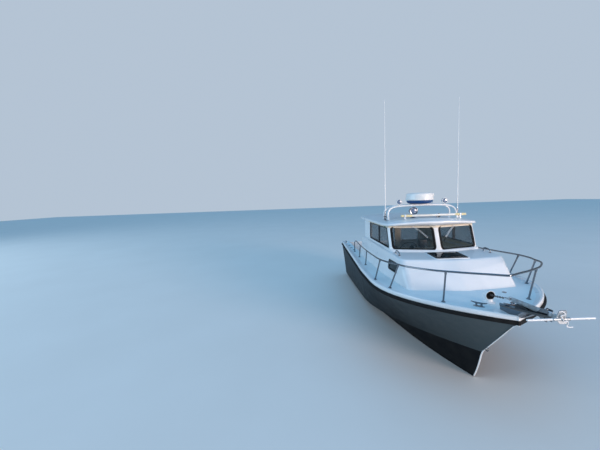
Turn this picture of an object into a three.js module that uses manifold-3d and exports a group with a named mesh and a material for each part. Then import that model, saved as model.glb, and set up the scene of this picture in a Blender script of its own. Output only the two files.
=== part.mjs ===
// Pilothouse fishing boat, afloat: open aft cockpit, low trunk cabin forward, one outboard engine.
// Millimetres. +X forward, +Y to port, +Z up. The origin is on the waterline, amidships.
// Places along the hull are given as d, the distance aft of the stem head.
import * as THREE from "three";
import { mergeVertices } from "three/addons/utils/BufferGeometryUtils.js";
import Module from "manifold-3d";

const wasm = await Module();
wasm.setup();

// Driving dimensions
const HULL_LENGTH = 7900;
const MID = HULL_LENGTH / 2;
const GAP = 0.3;
const MAX_HALF_BEAM = 1535;
const BOW_FULLNESS = { length: 2250, power: 2.52 };
const STERN_TAPER = 0.16;
const TAPER_START = 3000;
const STEM_HEAD_Z = 1454;
const SHEER_FALL = 0.0119;
const STEM_CHINE_D = 760;
const KEEL_DEPTH = 520;
const DECK_THICK = 45;
const TOE_RAIL = { width: 60, height: 32 };
const RUB_RAIL = { height: 66, thick: 34, drop: 58 };
const COCKPIT_SOLE_Z = 400;
const CABIN_SOLE_Z = 600;
const BERTH_Z = 900;
const CUDDY_FRONT_D = 1680;
const CABIN_FRONT_D = 2750;
const BULKHEAD_D = 4896;
const BULKHEAD_THICK = 50;
const COCKPIT_END_D = 7720;
const WELL_HALF = 980;
const COCKPIT_HALF = 1090;
const COCKPIT_AFT_HALF = 1010;
const TRUNK_TOP_Z = 2000;
const TRUNK_BREAK_D = 2190;
const TRUNK_SLOPE = 43 / 650;
const WALL = 45;
const HOUSE_TOP_Z = 2550;
const HOUSE_OUTER_Y = 975;
const HOUSE_OPENING_Y = 900;
const HOUSE_AFT_D = BULKHEAD_D + BULKHEAD_THICK;
const ROOF_HALF = 1050;
const ROOF_EDGE = 48;
const ROOF_CAMBER = 65;
const ROOF_RISE = { high: 35, reach: 300 };
const ROOF_Z = HOUSE_TOP_Z + GAP;

const group = new THREE.Group();
const meshes = {};

// Basic tools
const at = (d, y, z) => new THREE.Vector3(MID - d, y, z);
const sheerZ = (d) => STEM_HEAD_Z - SHEER_FALL * d;
const deckZ = (d) => sheerZ(d) + GAP + DECK_THICK;
const clampUnit = (t) => Math.min(1, Math.max(0, t));

function halfBeam(d) {
  const bow = 1 - (1 - clampUnit(d / BOW_FULLNESS.length)) ** BOW_FULLNESS.power;
  const stern = 1 - (STERN_TAPER * Math.max(0, d - TAPER_START)) / (HULL_LENGTH - TAPER_START);
  return MAX_HALF_BEAM * bow * stern;
}

function toSolid(geometry) {
  const plain = new THREE.BufferGeometry();
  plain.setAttribute("position", geometry.getAttribute("position").clone());
  if (geometry.index) plain.setIndex(geometry.index.clone());
  const merged = mergeVertices(plain, 1e-3);
  const solid = new wasm.Manifold(
    new wasm.Mesh({
      numProp: 3,
      vertProperties: Float32Array.from(merged.attributes.position.array),
      triVerts: Uint32Array.from(merged.index.array),
    }),
  );
  if (solid.volume() < 0) throw new Error("a solid is inside out");
  return solid;
}

function toGeometry(solid) {
  const mesh = solid.getMesh();
  const geometry = new THREE.BufferGeometry();
  geometry.setAttribute("position", new THREE.BufferAttribute(mesh.vertProperties, 3));
  geometry.setIndex(new THREE.BufferAttribute(mesh.triVerts, 1));
  geometry.computeVertexNormals();
  return geometry;
}

const join = (...solids) => solids.reduce((a, b) => a.add(b));
const cut = (from, ...tools) => tools.reduce((a, b) => a.subtract(b), from);

function moved(geometry, matrix) {
  return toSolid(geometry.clone().applyMatrix4(matrix));
}

// A box from its d, y and z ranges.
function block(d0, d1, y0, y1, z0, z1) {
  const geometry = new THREE.BoxGeometry(d1 - d0, y1 - y0, z1 - z0);
  const place = new THREE.Matrix4().makeTranslation(MID - (d0 + d1) / 2, (y0 + y1) / 2, (z0 + z1) / 2);
  return moved(geometry, place);
}

// A round rod, or a cone, between two points.
function rod(from, to, radius, sides = 10, endRadius = radius) {
  const length = from.distanceTo(to);
  const geometry = new THREE.CylinderGeometry(endRadius, radius, length, sides);
  const turn = new THREE.Quaternion().setFromUnitVectors(
    new THREE.Vector3(0, 1, 0),
    to.clone().sub(from).normalize(),
  );
  const middle = from.clone().add(to).multiplyScalar(0.5);
  return moved(geometry, new THREE.Matrix4().compose(middle, turn, new THREE.Vector3(1, 1, 1)));
}

// A bent tube through points.
function tube(points, radius, steps, sides = 8) {
  const curve = new THREE.CatmullRomCurve3(points, false, "centripetal");
  const section = new THREE.Shape();
  for (let i = 0; i < sides; i++) {
    const angle = (2 * Math.PI * i) / sides;
    const [x, y] = [radius * Math.cos(angle), radius * Math.sin(angle)];
    if (i === 0) section.moveTo(x, y);
    else section.lineTo(x, y);
  }
  return toSolid(new THREE.ExtrudeGeometry(section, { steps, extrudePath: curve, bevelEnabled: false }));
}

// Closed body through rings of equal length, capped at both ends.
function loft(rings) {
  const count = rings[0].length;
  const positions = rings.flat().flatMap((p) => [p.x, p.y, p.z]);
  const index = [];
  for (let r = 0; r < rings.length - 1; r++)
    for (let i = 0; i < count; i++) {
      const j = (i + 1) % count;
      const [a, b, c, e] = [r * count + i, r * count + j, (r + 1) * count + i, (r + 1) * count + j];
      index.push(a, b, e, a, e, c);
    }
  for (const last of [false, true]) {
    const ring = last ? rings[rings.length - 1] : rings[0];
    const start = last ? (rings.length - 1) * count : 0;
    const normal = new THREE.Vector3();
    ring.forEach((p, i) => normal.add(p.clone().cross(ring[(i + 1) % count])));
    const size = { x: Math.abs(normal.x), y: Math.abs(normal.y), z: Math.abs(normal.z) };
    const axes = ["x", "y", "z"].sort((m, n) => size[m] - size[n]).slice(0, 2).sort();
    const flat = ring.map((p) => new THREE.Vector2(p[axes[0]], p[axes[1]]));
    const clockwise = THREE.ShapeUtils.isClockWise(flat);
    const order = clockwise ? flat.map((_, i) => count - 1 - i) : flat.map((_, i) => i);
    for (const face of THREE.ShapeUtils.triangulateShape(order.map((i) => flat[i]), [])) {
      const [a, b, c] = face.map((i) => order[i]);
      const facing = ring[b].clone().sub(ring[a]).cross(ring[c].clone().sub(ring[a])).dot(normal) > 0;
      const keep = facing === last;
      index.push(start + a, start + (keep ? b : c), start + (keep ? c : b));
    }
  }
  const geometry = new THREE.BufferGeometry();
  geometry.setAttribute("position", new THREE.Float32BufferAttribute(positions, 3));
  geometry.setIndex(index);
  if (signedVolume(geometry) < 0) geometry.setIndex(flipped(index));
  return toSolid(geometry);
}

function flipped(index) {
  const other = [];
  for (let i = 0; i < index.length; i += 3) other.push(index[i], index[i + 2], index[i + 1]);
  return other;
}

function signedVolume(geometry) {
  const p = geometry.getAttribute("position");
  const point = (i) => new THREE.Vector3().fromBufferAttribute(p, geometry.index.getX(i));
  let sum = 0;
  for (let i = 0; i < geometry.index.count; i += 3)
    sum += point(i).dot(point(i + 1).cross(point(i + 2)));
  return sum / 6;
}

// Rounded rectangle outline, counter-clockwise.
function roundedRect(x0, y0, x1, y1, r) {
  const shape = new THREE.Shape();
  shape.moveTo(x0 + r, y0);
  shape.lineTo(x1 - r, y0);
  shape.absarc(x1 - r, y0 + r, r, -Math.PI / 2, 0);
  shape.lineTo(x1, y1 - r);
  shape.absarc(x1 - r, y1 - r, r, 0, Math.PI / 2);
  shape.lineTo(x0 + r, y1);
  shape.absarc(x0 + r, y1 - r, r, Math.PI / 2, Math.PI);
  shape.lineTo(x0, y0 + r);
  shape.absarc(x0 + r, y0 + r, r, Math.PI, 1.5 * Math.PI);
  return shape;
}

function polygon(points) {
  return new THREE.Shape(points.map(([x, y]) => new THREE.Vector2(x, y)));
}

// Extrudes a shape and carries it to the plane given by an origin and two axes.
function plate(shape, thick, origin, right, up, curveSegments = 4) {
  const geometry = new THREE.ExtrudeGeometry(shape, { depth: thick, bevelEnabled: false, curveSegments });
  const u = right.clone().normalize();
  const n = u.clone().cross(up).normalize();
  const v = n.clone().cross(u);
  return moved(geometry, new THREE.Matrix4().makeBasis(u, v, n).setPosition(origin));
}

const UP = new THREE.Vector3(0, 0, 1);
const FORWARD = new THREE.Vector3(1, 0, 0);
const AFT = new THREE.Vector3(-1, 0, 0);
const PORT = new THREE.Vector3(0, 1, 0);

// Plates seen from the side (x, z), from astern (y, z) and from above (x, y).
const sidePlate = (shape, y0, y1, segments) =>
  plate(shape, y1 - y0, new THREE.Vector3(0, y1, 0), FORWARD, UP, segments);
const crossPlate = (shape, d0, d1, segments) => plate(shape, d1 - d0, at(d1, 0, 0), PORT, UP, segments);
const flatPlate = (shape, z0, z1, segments) =>
  plate(shape, z1 - z0, new THREE.Vector3(0, 0, z0), FORWARD, PORT, segments);

// A side plate from rows of d and z.
const profile = (rows) => polygon(rows.map(([d, z]) => [MID - d, z]));

// Turned body about a line from a point along an axis. Columns of rows: radius, distance.
function turned(rows, origin, axis, sides = 20) {
  const points = rows.map(([r, h]) => new THREE.Vector2(r, h));
  const geometry = new THREE.LatheGeometry(points, sides);
  const turn = new THREE.Quaternion().setFromUnitVectors(PORT, axis.clone().normalize());
  const matrix = new THREE.Matrix4().compose(origin, turn, new THREE.Vector3(1, 1, 1));
  geometry.applyMatrix4(matrix);
  const merged = mergeVertices(new THREE.BufferGeometry()
    .setAttribute("position", geometry.getAttribute("position"))
    .setIndex(geometry.index), 1e-3);
  const real = [];
  for (let i = 0; i < merged.index.count; i += 3) {
    const [a, b, c] = [0, 1, 2].map((k) => merged.index.getX(i + k));
    if (a !== b && b !== c && a !== c) real.push(a, b, c);
  }
  merged.setIndex(real);
  if (signedVolume(merged) < 0) merged.setIndex(flipped(real));
  return toSolid(merged);
}

// Finishes
const finish = (color, roughness, metalness = 0, opacity = 1) =>
  new THREE.MeshStandardMaterial({ color, roughness, metalness, opacity, transparent: opacity < 1 });
const finishes = {
  topsides: finish(0x8b969d, 0.35),
  gelcoat: finish(0xf0f1ef, 0.4),
  rubber: finish(0x15161a, 0.7),
  stainless: finish(0xc9ccd0, 0.25, 1),
  glass: finish(0x2b3a42, 0.08, 0, 0.45),
  radarBlue: finish(0x1d5f9e, 0.4),
  cream: finish(0xe9dfae, 0.5),
  whip: finish(0xf4f5f5, 0.35),
  black: finish(0x1a1a1c, 0.55),
  galvanised: finish(0x7d8489, 0.5, 0.8),
  vinyl: finish(0xd8d9d6, 0.6),
  engine: finish(0x9aa0a5, 0.35),
  interior: finish(0xd9d4c4, 0.6),
};

function add(name, solid, finishName) {
  const mesh = new THREE.Mesh(toGeometry(solid), finishes[finishName]);
  mesh.name = name;
  group.add(mesh);
  meshes[name] = solid;
  return solid;
}

function addPair(name, build, finishName) {
  for (const [side, sign] of [["port", 1], ["stbd", -1]]) add(`${name}_${side}`, build(sign), finishName);
}

// Hull: oblique rings that all start on the raked stem. Columns: share of the length.
const STATIONS = [0, 0.012, 0.03, 0.055, 0.085, 0.125, 0.175, 0.24, 0.31, 0.4, 0.52, 0.68, 0.84, 1];
const STEM_HALF = 14;

function chine(t) {
  const d = STEM_CHINE_D + (HULL_LENGTH - STEM_CHINE_D) * t;
  const spread = 1 - (1 - clampUnit((d - STEM_CHINE_D) / 3440)) ** 1.9;
  const taper = 1 - 0.05 * clampUnit((d - 4200) / 3700);
  return { d, y: 1200 * spread * taper, z: 80 + 500 * (1 - t) ** 1.3 };
}

function keel(t) {
  const d = STEM_CHINE_D + (HULL_LENGTH - STEM_CHINE_D) * t ** 1.12;
  const stem = STEM_HEAD_Z - 874 + KEEL_DEPTH;
  return { d, z: -KEEL_DEPTH + stem * Math.exp(-(d - STEM_CHINE_D) / 280) };
}

function sheer(t) {
  const d = HULL_LENGTH * t;
  return { d, y: Math.max(STEM_HALF, halfBeam(d)), z: sheerZ(d) };
}

function hullRing(t) {
  const [k, c, s] = [keel(t), chine(t), sheer(t)];
  const chineY = Math.max(STEM_HALF * 0.9, c.y);
  const flat = Math.min(70, chineY * 0.3);
  const side = [];
  side.push([c.d, chineY - flat, c.z - 22 * clampUnit(chineY / 300)]);
  side.push([c.d, chineY, c.z]);
  for (const share of [0.3, 0.62, 0.85]) {
    const out = share ** 1.22;
    side.push([c.d + (s.d - c.d) * share, chineY + (s.y - chineY) * out, c.z + (s.z - c.z) * share]);
  }
  side.push([s.d, s.y, s.z]);
  const port = side.map(([d, y, z]) => at(d, y, z));
  const starboard = side.map(([d, y, z]) => at(d, -y, z)).reverse();
  return [at(k.d, 0, k.z - (t === 0 ? 20 : 0)), ...port, at(s.d, 0, s.z), ...starboard];
}

const plan = (rows) => polygon(rows.map(([d, y]) => [MID - d, y]));
const mirrored = (rows) => [...rows, ...rows.map(([d, y]) => [d, -y]).reverse()];
const cuddyPlan = plan(mirrored([[CUDDY_FRONT_D, 580], [2300, 860], [CABIN_FRONT_D + 1, 930]]));
const housePlan = plan(mirrored([[CABIN_FRONT_D, WELL_HALF], [BULKHEAD_D, WELL_HALF]]));
const doorwayPlan = plan(mirrored([[BULKHEAD_D - 1, WELL_HALF], [HOUSE_AFT_D + 2, WELL_HALF]]));
const cockpitPlan = plan(mirrored([[HOUSE_AFT_D + 1, COCKPIT_HALF], [COCKPIT_END_D, COCKPIT_AFT_HALF]]));
const OVER = 3000;
const wells = join(
  flatPlate(cuddyPlan, BERTH_Z, OVER),
  flatPlate(housePlan, CABIN_SOLE_Z, OVER),
  flatPlate(doorwayPlan, COCKPIT_SOLE_Z, OVER),
  flatPlate(cockpitPlan, COCKPIT_SOLE_Z, OVER),
);

// The fish box is sunk in the cockpit sole, with its lid flush.
const FISH_BOX = { d0: 6300, d1: 7300, half: 430, depth: 300, rim: 30, lid: 30 };
const fishBoxWell = join(
  block(
    FISH_BOX.d0, FISH_BOX.d1, -FISH_BOX.half, FISH_BOX.half,
    COCKPIT_SOLE_Z - FISH_BOX.depth, COCKPIT_SOLE_Z + 1,
  ),
  block(
    FISH_BOX.d0 - FISH_BOX.rim, FISH_BOX.d1 + FISH_BOX.rim,
    -FISH_BOX.half - FISH_BOX.rim, FISH_BOX.half + FISH_BOX.rim,
    COCKPIT_SOLE_Z - FISH_BOX.lid, COCKPIT_SOLE_Z + 1,
  ),
);
add("hull", cut(loft(STATIONS.map(hullRing)), wells, fishBoxWell), "topsides");

// The lid turns about barrels over its forward edge.
function fishBoxLid() {
  const edge = FISH_BOX.rim - 6;
  const leaf = block(
    FISH_BOX.d0 - edge, FISH_BOX.d1 + edge, -FISH_BOX.half - edge, FISH_BOX.half + edge,
    COCKPIT_SOLE_Z - FISH_BOX.lid + GAP, COCKPIT_SOLE_Z - 1,
  );
  const hinges = [-300, 300].flatMap((y) => {
    const [d, z] = [FISH_BOX.d0 - FISH_BOX.rim, COCKPIT_SOLE_Z + 8.5];
    return [
      rod(at(d, y - 40, z), at(d, y + 40, z), 7, 12),
      block(d, d + 60, y - 40, y + 40, z - 6, z),
      block(d + 8, d + 60, y - 40, y + 40, z - 12, z),
    ];
  });
  return join(leaf, ...hinges);
}
add("fish_box_lid", fishBoxLid(), "gelcoat");

// Deck: a flat plate on the sheer with a raised toe rail, open over the cabin and cockpit.
function deckRing(t) {
  const s = sheer(t);
  const low = s.z + GAP;
  const top = low + DECK_THICK;
  const toe = Math.min(TOE_RAIL.width, s.y * 0.5);
  const rim = top + TOE_RAIL.height;
  const half = [[s.y, low], [s.y, rim], [s.y - toe, rim], [s.y - toe * 1.15, top]];
  const port = half.map(([y, z]) => at(s.d, y, z));
  return [at(s.d, 0, low), ...port, at(s.d, 0, top), ...half.map(([y, z]) => at(s.d, -y, z)).reverse()];
}
add("deck", cut(loft(STATIONS.map(deckRing)), wells), "gelcoat");

// Rub rail: rubber strake round the sheer from quarter to quarter.
function rubRail() {
  const half = STATIONS.map((t) => sheer(t));
  const line = [...half.slice().reverse().map((s) => [s.d, s.y, s.z]), ...half.map((s) => [s.d, -s.y, s.z])];
  const clear = 2;
  const rings = line.map(([d, y, z], i) => {
    const [before, after] = [line[Math.max(0, i - 1)], line[Math.min(line.length - 1, i + 1)]];
    const out = new THREE.Vector2(-(before[1] - after[1]), -(before[0] - after[0])).normalize();
    if (i > 0 && i < line.length - 1) {
      const into = new THREE.Vector2(-(before[1] - y), -(before[0] - d)).normalize();
      out.divideScalar(Math.max(0.5, out.dot(into)));
    }
    const place = (offset, up) => at(d - out.x * offset, y - out.y * offset, z + up);
    const [low, high] = [-RUB_RAIL.drop, RUB_RAIL.height - RUB_RAIL.drop];
    return [
      place(clear, low + 6), place(clear, high), place(RUB_RAIL.thick * 0.7, high),
      place(RUB_RAIL.thick, high - 20), place(RUB_RAIL.thick, low + 20), place(RUB_RAIL.thick * 0.6, low),
    ];
  });
  return loft(rings);
}
add("rub_rail", rubRail(), "rubber");

// Trunk cabin: a thin shell that stands on the deck and carries the pilothouse. Its front is a shallow V.
const trunkTopZ = (d) => TRUNK_TOP_Z - TRUNK_SLOPE * Math.max(0, TRUNK_BREAK_D - d);
const TRUNK = {
  frontBase: 1190, frontTop: 1560, baseHalf: 1130, topHalf: 1055, radius: 160, bow: 120, aft: HOUSE_AFT_D + 4,
  taperD: 2700, baseTaper: 100, topTaper: 20,
};

// Plan outline of the trunk at a height share, pulled in by inset. Columns: d, y.
function trunkPlan(share, inset, aft) {
  const front = TRUNK.frontBase + (TRUNK.frontTop - TRUNK.frontBase) * share + inset;
  const aftHalf = TRUNK.baseHalf + (TRUNK.topHalf - TRUNK.baseHalf) * share - inset;
  const taper = TRUNK.baseTaper + (TRUNK.topTaper - TRUNK.baseTaper) * share;
  const r = TRUNK.radius;
  const corner = front + TRUNK.bow + r;
  const foreHalf = aftHalf - taper;
  const side = [[aft, aftHalf], [4000, aftHalf], [TRUNK.taperD, aftHalf]];
  side.push([TRUNK_BREAK_D, aftHalf - (taper * (TRUNK.taperD - TRUNK_BREAK_D)) / (TRUNK.taperD - corner)]);
  side.push([corner, foreHalf]);
  for (const angle of [20, 40, 60, 80]) {
    const a = (angle * Math.PI) / 180;
    side.push([corner - r * Math.sin(a), foreHalf - r * (1 - Math.cos(a))]);
  }
  return [...side, [front, 0], ...side.map(([d, y]) => [d, -y]).reverse()];
}

function trunkShell() {
  const ring = (share, inset, z, aft = TRUNK.aft, squeeze = 1) =>
    trunkPlan(share, inset, aft).map(([d, y]) => at(d, y * squeeze, z(d)));
  const outer = loft([
    ring(0, 0, (d) => deckZ(d) + GAP),
    ring(0.9, 0, (d) => trunkTopZ(d) - 60),
    ring(1, 14, (d) => trunkTopZ(d) - 14),
    ring(1, 48, trunkTopZ),
    ring(1, 48, trunkTopZ, TRUNK.aft, 0.04),
  ]);
  const inner = loft([
    ring(0, WALL, (d) => deckZ(d) - 30, TRUNK.aft + 40),
    ring(0.9, WALL, (d) => trunkTopZ(d) - WALL - 20, TRUNK.aft + 40),
    ring(1, WALL + 25, (d) => trunkTopZ(d) - WALL, TRUNK.aft + 40),
    ring(1, WALL + 25, (d) => trunkTopZ(d) - WALL, TRUNK.aft + 40, 0.04),
  ]);
  const opening = block(2640, 5100, -HOUSE_OPENING_Y, HOUSE_OPENING_Y, 1900, 2100);
  return cut(outer, inner, opening);
}

// Small side windows of the trunk, and the roof hatch over the berths.
const PORTLIGHT = { d0: 1870, d1: 2310, z0: 1665, z1: 1855, radius: 45 };
const HATCH = { d0: 1700, d1: 2150, half: 320, frame: 34, lift: 16 };

function portlightHole(sign, inset, segments) {
  const { d0, d1, z0, z1, radius } = PORTLIGHT;
  const shape = roundedRect(MID - d1 + inset, z0 + inset, MID - d0 - inset, z1 - inset, radius - inset);
  return sign > 0 ? sidePlate(shape, 1000, 1200, segments) : sidePlate(shape, -1200, -1000, segments);
}
const hatchSlope = new THREE.Vector3(1, 0, -TRUNK_SLOPE).normalize();
const hatchUp = new THREE.Vector3(TRUNK_SLOPE, 0, 1).normalize();
const hatchMid = (HATCH.d0 + HATCH.d1) / 2;
const hatchCentre = at(hatchMid, 0, trunkTopZ(hatchMid));
const hatchLong = (HATCH.d1 - HATCH.d0) / 2;

function hatchPlate(halfLong, halfWide, radius, low, high) {
  const shape = roundedRect(-halfLong, -halfWide, halfLong, halfWide, radius);
  const origin = hatchCentre.clone().addScaledVector(hatchUp, low);
  return plate(shape, high - low, origin, hatchSlope, PORT, 3);
}
const trunk = cut(
  trunkShell(),
  portlightHole(1, 0, 3),
  portlightHole(-1, 0, 3),
  hatchPlate(hatchLong - HATCH.frame, HATCH.half - HATCH.frame, 40, -120, 60),
);
add("trunk_cabin", trunk, "gelcoat");

// Each glass pane of the trunk is a plug of the wall's own slope, 0.3 mm clear of its hole.
addPair("trunk_portlight", (sign) => {
  const hole = portlightHole(sign, GAP, 3);
  const ring = (share, inset, z) => trunkPlan(share, inset, TRUNK.aft).map(([d, y]) => at(d, y, z(d)));
  const shell = cut(
    loft([ring(0, 10, (d) => deckZ(d) + 20), ring(0.9, 10, (d) => trunkTopZ(d) - 60)]),
    loft([ring(0, 22, (d) => deckZ(d) + 10), ring(0.9, 22, (d) => trunkTopZ(d) - 50)]),
  );
  return hole.intersect(shell);
}, "glass");

// The lid turns about barrels at its forward edge.
const HINGE = { radius: 7, half: 35 };
const hatchPivot = hatchCentre.clone().addScaledVector(hatchSlope, hatchLong + 5)
  .addScaledVector(hatchUp, 8.5);
const hatchBarrels = [-180, 180].map((y) => {
  const [from, to] = [-HINGE.half, HINGE.half].map((offset) => hatchPivot.clone().setY(y + offset));
  return rod(from, to, HINGE.radius, 12);
});
add("hatch_lid", join(
  hatchPlate(hatchLong, HATCH.half, 60, GAP, HATCH.lift),
  hatchPlate(hatchLong - 45, HATCH.half - 45, 40, HATCH.lift - 1, HATCH.lift + 6),
  ...hatchBarrels,
), "glass");

// Pilothouse: windshield frame, sides, aft bulkhead and roof are separate panels.
// The windshield is a raked V of two halves, measured at its foot.
const SHIELD = { centreD: 2210, edgeD: 2465, halfWidth: 928, rake: 0.36, thick: 42 };
const SILL = { high: 40, proud: 40 };
const SHIELD_LENGTH = Math.hypot(SHIELD.edgeD - SHIELD.centreD, SHIELD.halfWidth);
const shieldUp = new THREE.Vector3(-SHIELD.rake, 0, 1).normalize();
const SHIELD_HEIGHT = (HOUSE_TOP_Z - TRUNK_TOP_Z - 2 * GAP) / shieldUp.z;
const shieldFoot = at(SHIELD.centreD, 0, TRUNK_TOP_Z + GAP);
const shieldRight = (sign) =>
  new THREE.Vector3(SHIELD.centreD - SHIELD.edgeD, sign * SHIELD.halfWidth, 0).normalize();
const shieldOut = (sign) => shieldRight(sign).cross(shieldUp).normalize().multiplyScalar(sign);
const shieldTopD = (y) =>
  SHIELD.centreD + SHIELD.rake * (HOUSE_TOP_Z - TRUNK_TOP_Z)
  + ((SHIELD.edgeD - SHIELD.centreD) * Math.abs(y)) / SHIELD.halfWidth;

// A plate in one half of the windshield. Its outer face lies behind the half's own plane by set.
function shieldPanel(sign, shape, depth, set) {
  const [right, out] = [shieldRight(sign), shieldOut(sign)];
  const n = out.clone().multiplyScalar(sign);
  const origin = shieldFoot.clone().addScaledVector(out, sign > 0 ? -set - depth : -set);
  const geometry = new THREE.ExtrudeGeometry(shape, { depth, bevelEnabled: false, curveSegments: 4 });
  return moved(geometry, new THREE.Matrix4().makeBasis(right, shieldUp, n).setPosition(origin));
}
const PANE = { inner: 78, outer: SHIELD_LENGTH - 23, low: 48, high: SHIELD_HEIGHT - 19, radius: 90 };
const tall = (low, high, x0, x1) => polygon([[x0, low], [x1, low], [x1, high], [x0, high]]);
const paneShape = (inset) => roundedRect(
  PANE.inner + inset, PANE.low + inset, PANE.outer - inset, PANE.high - inset, PANE.radius - inset,
);

function windshieldFrame() {
  const [from, to] = [-4, SHIELD_LENGTH + 20];
  const panels = [1, -1].map((sign) =>
    join(
      cut(
        shieldPanel(sign, tall(-30, SHIELD_HEIGHT + 30, from, to), SHIELD.thick, 0),
        shieldPanel(sign, paneShape(0), SHIELD.thick + 40, -20),
      ),
      shieldPanel(sign, tall(-30, SILL.high, from, to), SILL.proud + 10, -SILL.proud),
    ));
  const inside = HOUSE_OUTER_Y - WALL - GAP;
  const trim = join(
    block(2000, 3200, -1200, 1200, 1700, TRUNK_TOP_Z + GAP),
    block(2000, 3400, -1200, 1200, HOUSE_TOP_Z - GAP, 2800),
    block(2000, 3400, inside, 1300, 1900, 2700),
    block(2000, 3400, -1300, -inside, 1900, 2700),
  );
  return cut(join(...panels), trim);
}
add("windshield_frame", windshieldFrame(), "gelcoat");
addPair("windshield_glass", (sign) => shieldPanel(sign, paneShape(GAP), 8, 12), "glass");

// Side walls. The front edge follows the windshield's rake.
const SIDE_WINDOW = { front: 2592, back: 4300, low: 2070, high: 2505 };
const SIDE_LAP = 15;
const houseFront = (z) => SHIELD.edgeD - SIDE_LAP + (z - TRUNK_TOP_Z) * SHIELD.rake;

function windowOutline(inset) {
  const { front, back, low, high } = SIDE_WINDOW;
  const lean = SHIELD.rake * (high - low);
  return profile([
    [back - inset, low + inset], [front + inset, low + inset],
    [front + lean + inset, high - inset], [back - inset, high - inset],
  ]);
}

function houseSide(sign) {
  const [low, high] = [TRUNK_TOP_Z + GAP, HOUSE_TOP_Z - GAP];
  const wall = profile([
    [HOUSE_AFT_D, low], [houseFront(low), low], [houseFront(high), high], [HOUSE_AFT_D, high],
  ]);
  const [y0, y1] = sign > 0 ? [HOUSE_OUTER_Y - WALL, HOUSE_OUTER_Y] : [-HOUSE_OUTER_Y, -HOUSE_OUTER_Y + WALL];
  return cut(sidePlate(wall, y0, y1), sidePlate(windowOutline(0), y0 - 10, y1 + 10));
}
addPair("cabin_side", houseSide, "gelcoat");
addPair("side_glass", (sign) => {
  const y = sign * (HOUSE_OUTER_Y - 18);
  return sidePlate(windowOutline(GAP), y - 4, y + 4);
}, "glass");

// Aft bulkhead between cockpit and cabin, with a doorway to port and a fixed window to starboard.
const DOOR = { y0: 90, y1: 730, low: 640, high: 2440, thick: 36, radius: 40 };
const BULK_WINDOW = { y0: -780, y1: -60, low: 1560, high: 2380, radius: 60 };
const bulkWindow = (inset) => roundedRect(
  BULK_WINDOW.y0 + inset, BULK_WINDOW.low + inset, BULK_WINDOW.y1 - inset, BULK_WINDOW.high - inset,
  BULK_WINDOW.radius,
);

function bulkhead() {
  const d = BULKHEAD_D;
  const innerAt = (share) => TRUNK.baseHalf + (TRUNK.topHalf - TRUNK.baseHalf) * share - WALL;
  const half = [
    [WELL_HALF - GAP, COCKPIT_SOLE_Z + GAP],
    [WELL_HALF - GAP, deckZ(d) + GAP],
    [innerAt(0) - 8, deckZ(d) + GAP],
    [innerAt(0.9) - 4, trunkTopZ(d) - WALL - 24],
    [innerAt(1) - 30, trunkTopZ(d) - WALL - GAP],
    [HOUSE_OPENING_Y - GAP, trunkTopZ(d) - WALL - GAP],
    [HOUSE_OPENING_Y - GAP, TRUNK_TOP_Z + GAP],
    [HOUSE_OUTER_Y - WALL - GAP, TRUNK_TOP_Z + GAP],
    [HOUSE_OUTER_Y - WALL - GAP, HOUSE_TOP_Z - GAP],
  ];
  const outline = polygon([...half, ...half.map(([y, z]) => [-y, z]).reverse()]);
  const body = crossPlate(outline, d + GAP, d + BULKHEAD_THICK);
  const doorway = roundedRect(DOOR.y0, DOOR.low, DOOR.y1, DOOR.high, DOOR.radius);
  return cut(body, crossPlate(doorway, d - 20, d + 80, 3), crossPlate(bulkWindow(0), d - 20, d + 80, 3));
}
add("aft_bulkhead", bulkhead(), "gelcoat");
add("bulkhead_glass", crossPlate(bulkWindow(GAP), BULKHEAD_D + 20, BULKHEAD_D + 28, 3), "glass");

// The door shuts against the bulkhead's after face and hinges on its port edge.
const DOOR_FACE_D = HOUSE_AFT_D + 0.5;
const doorLap = 22;
const DOOR_HINGE = { d: DOOR_FACE_D + DOOR.thick / 2, y: DOOR.y1 + doorLap + 12 };
const doorWindow = (inset) =>
  roundedRect(DOOR.y0 + 60 + inset, 1860 + inset, DOOR.y1 - 60 - inset, 2330 - inset, 50 - inset);

function cabinDoor() {
  const { y0, y1, low, high, thick } = DOOR;
  const leaf = roundedRect(y0 - doorLap, low - doorLap + 4, y1 + doorLap, high + doorLap, 50);
  const panel = crossPlate(leaf, DOOR_FACE_D, DOOR_FACE_D + thick, 3);
  const backD = DOOR_FACE_D + thick;
  // Columns: distance behind the door, z.
  const grip = [[-3, 1380], [42, 1392], [42, 1548], [-3, 1560]];
  const handle = tube(grip.map(([reach, z]) => at(backD + reach, y0 + 50, z)), 8, 14, 6);
  const hinges = [850, 1500, 2150].map((z) => {
    const [d, y, top] = [DOOR_HINGE.d, DOOR_HINGE.y, z + 110];
    return join(rod(at(d, y, z), at(d, y, top), 12, 10), block(d - 3, d + 3, y1 + 5, y, z, top));
  });
  const hole = crossPlate(doorWindow(0), DOOR_FACE_D - 20, DOOR_FACE_D + 60, 3);
  return join(cut(panel, hole), handle, ...hinges);
}
add("cabin_door", cabinDoor(), "gelcoat");
add("door_glass", crossPlate(doorWindow(GAP), DOOR_FACE_D + 14, DOOR_FACE_D + 22, 3), "glass");

// Roof: cambered plate with a raised middle and a bowed visor. Its underside is flat on the house and
// lifts to the camber at the visor's lip. Columns: d, half width.
const ROOF_STATIONS = [
  [2287, 100], [2330, 400], [2400, 680], [2480, 860], [2560, 960], [2620, 1005], [2700, 1030],
  [2900, ROOF_HALF], [5040, ROOF_HALF], [5240, ROOF_HALF], [5310, 1020], [5340, 960],
];
const ROOF_STEPS = [1, 0.9, 0.72, 0.4, 0];
const ROOF_LAP = 30;
const camberAt = (y) => ROOF_CAMBER * (1 - (y / ROOF_HALF) ** 2);
const riseAt = (inside) => ROOF_RISE.high * clampUnit(inside / ROOF_RISE.reach);

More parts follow.
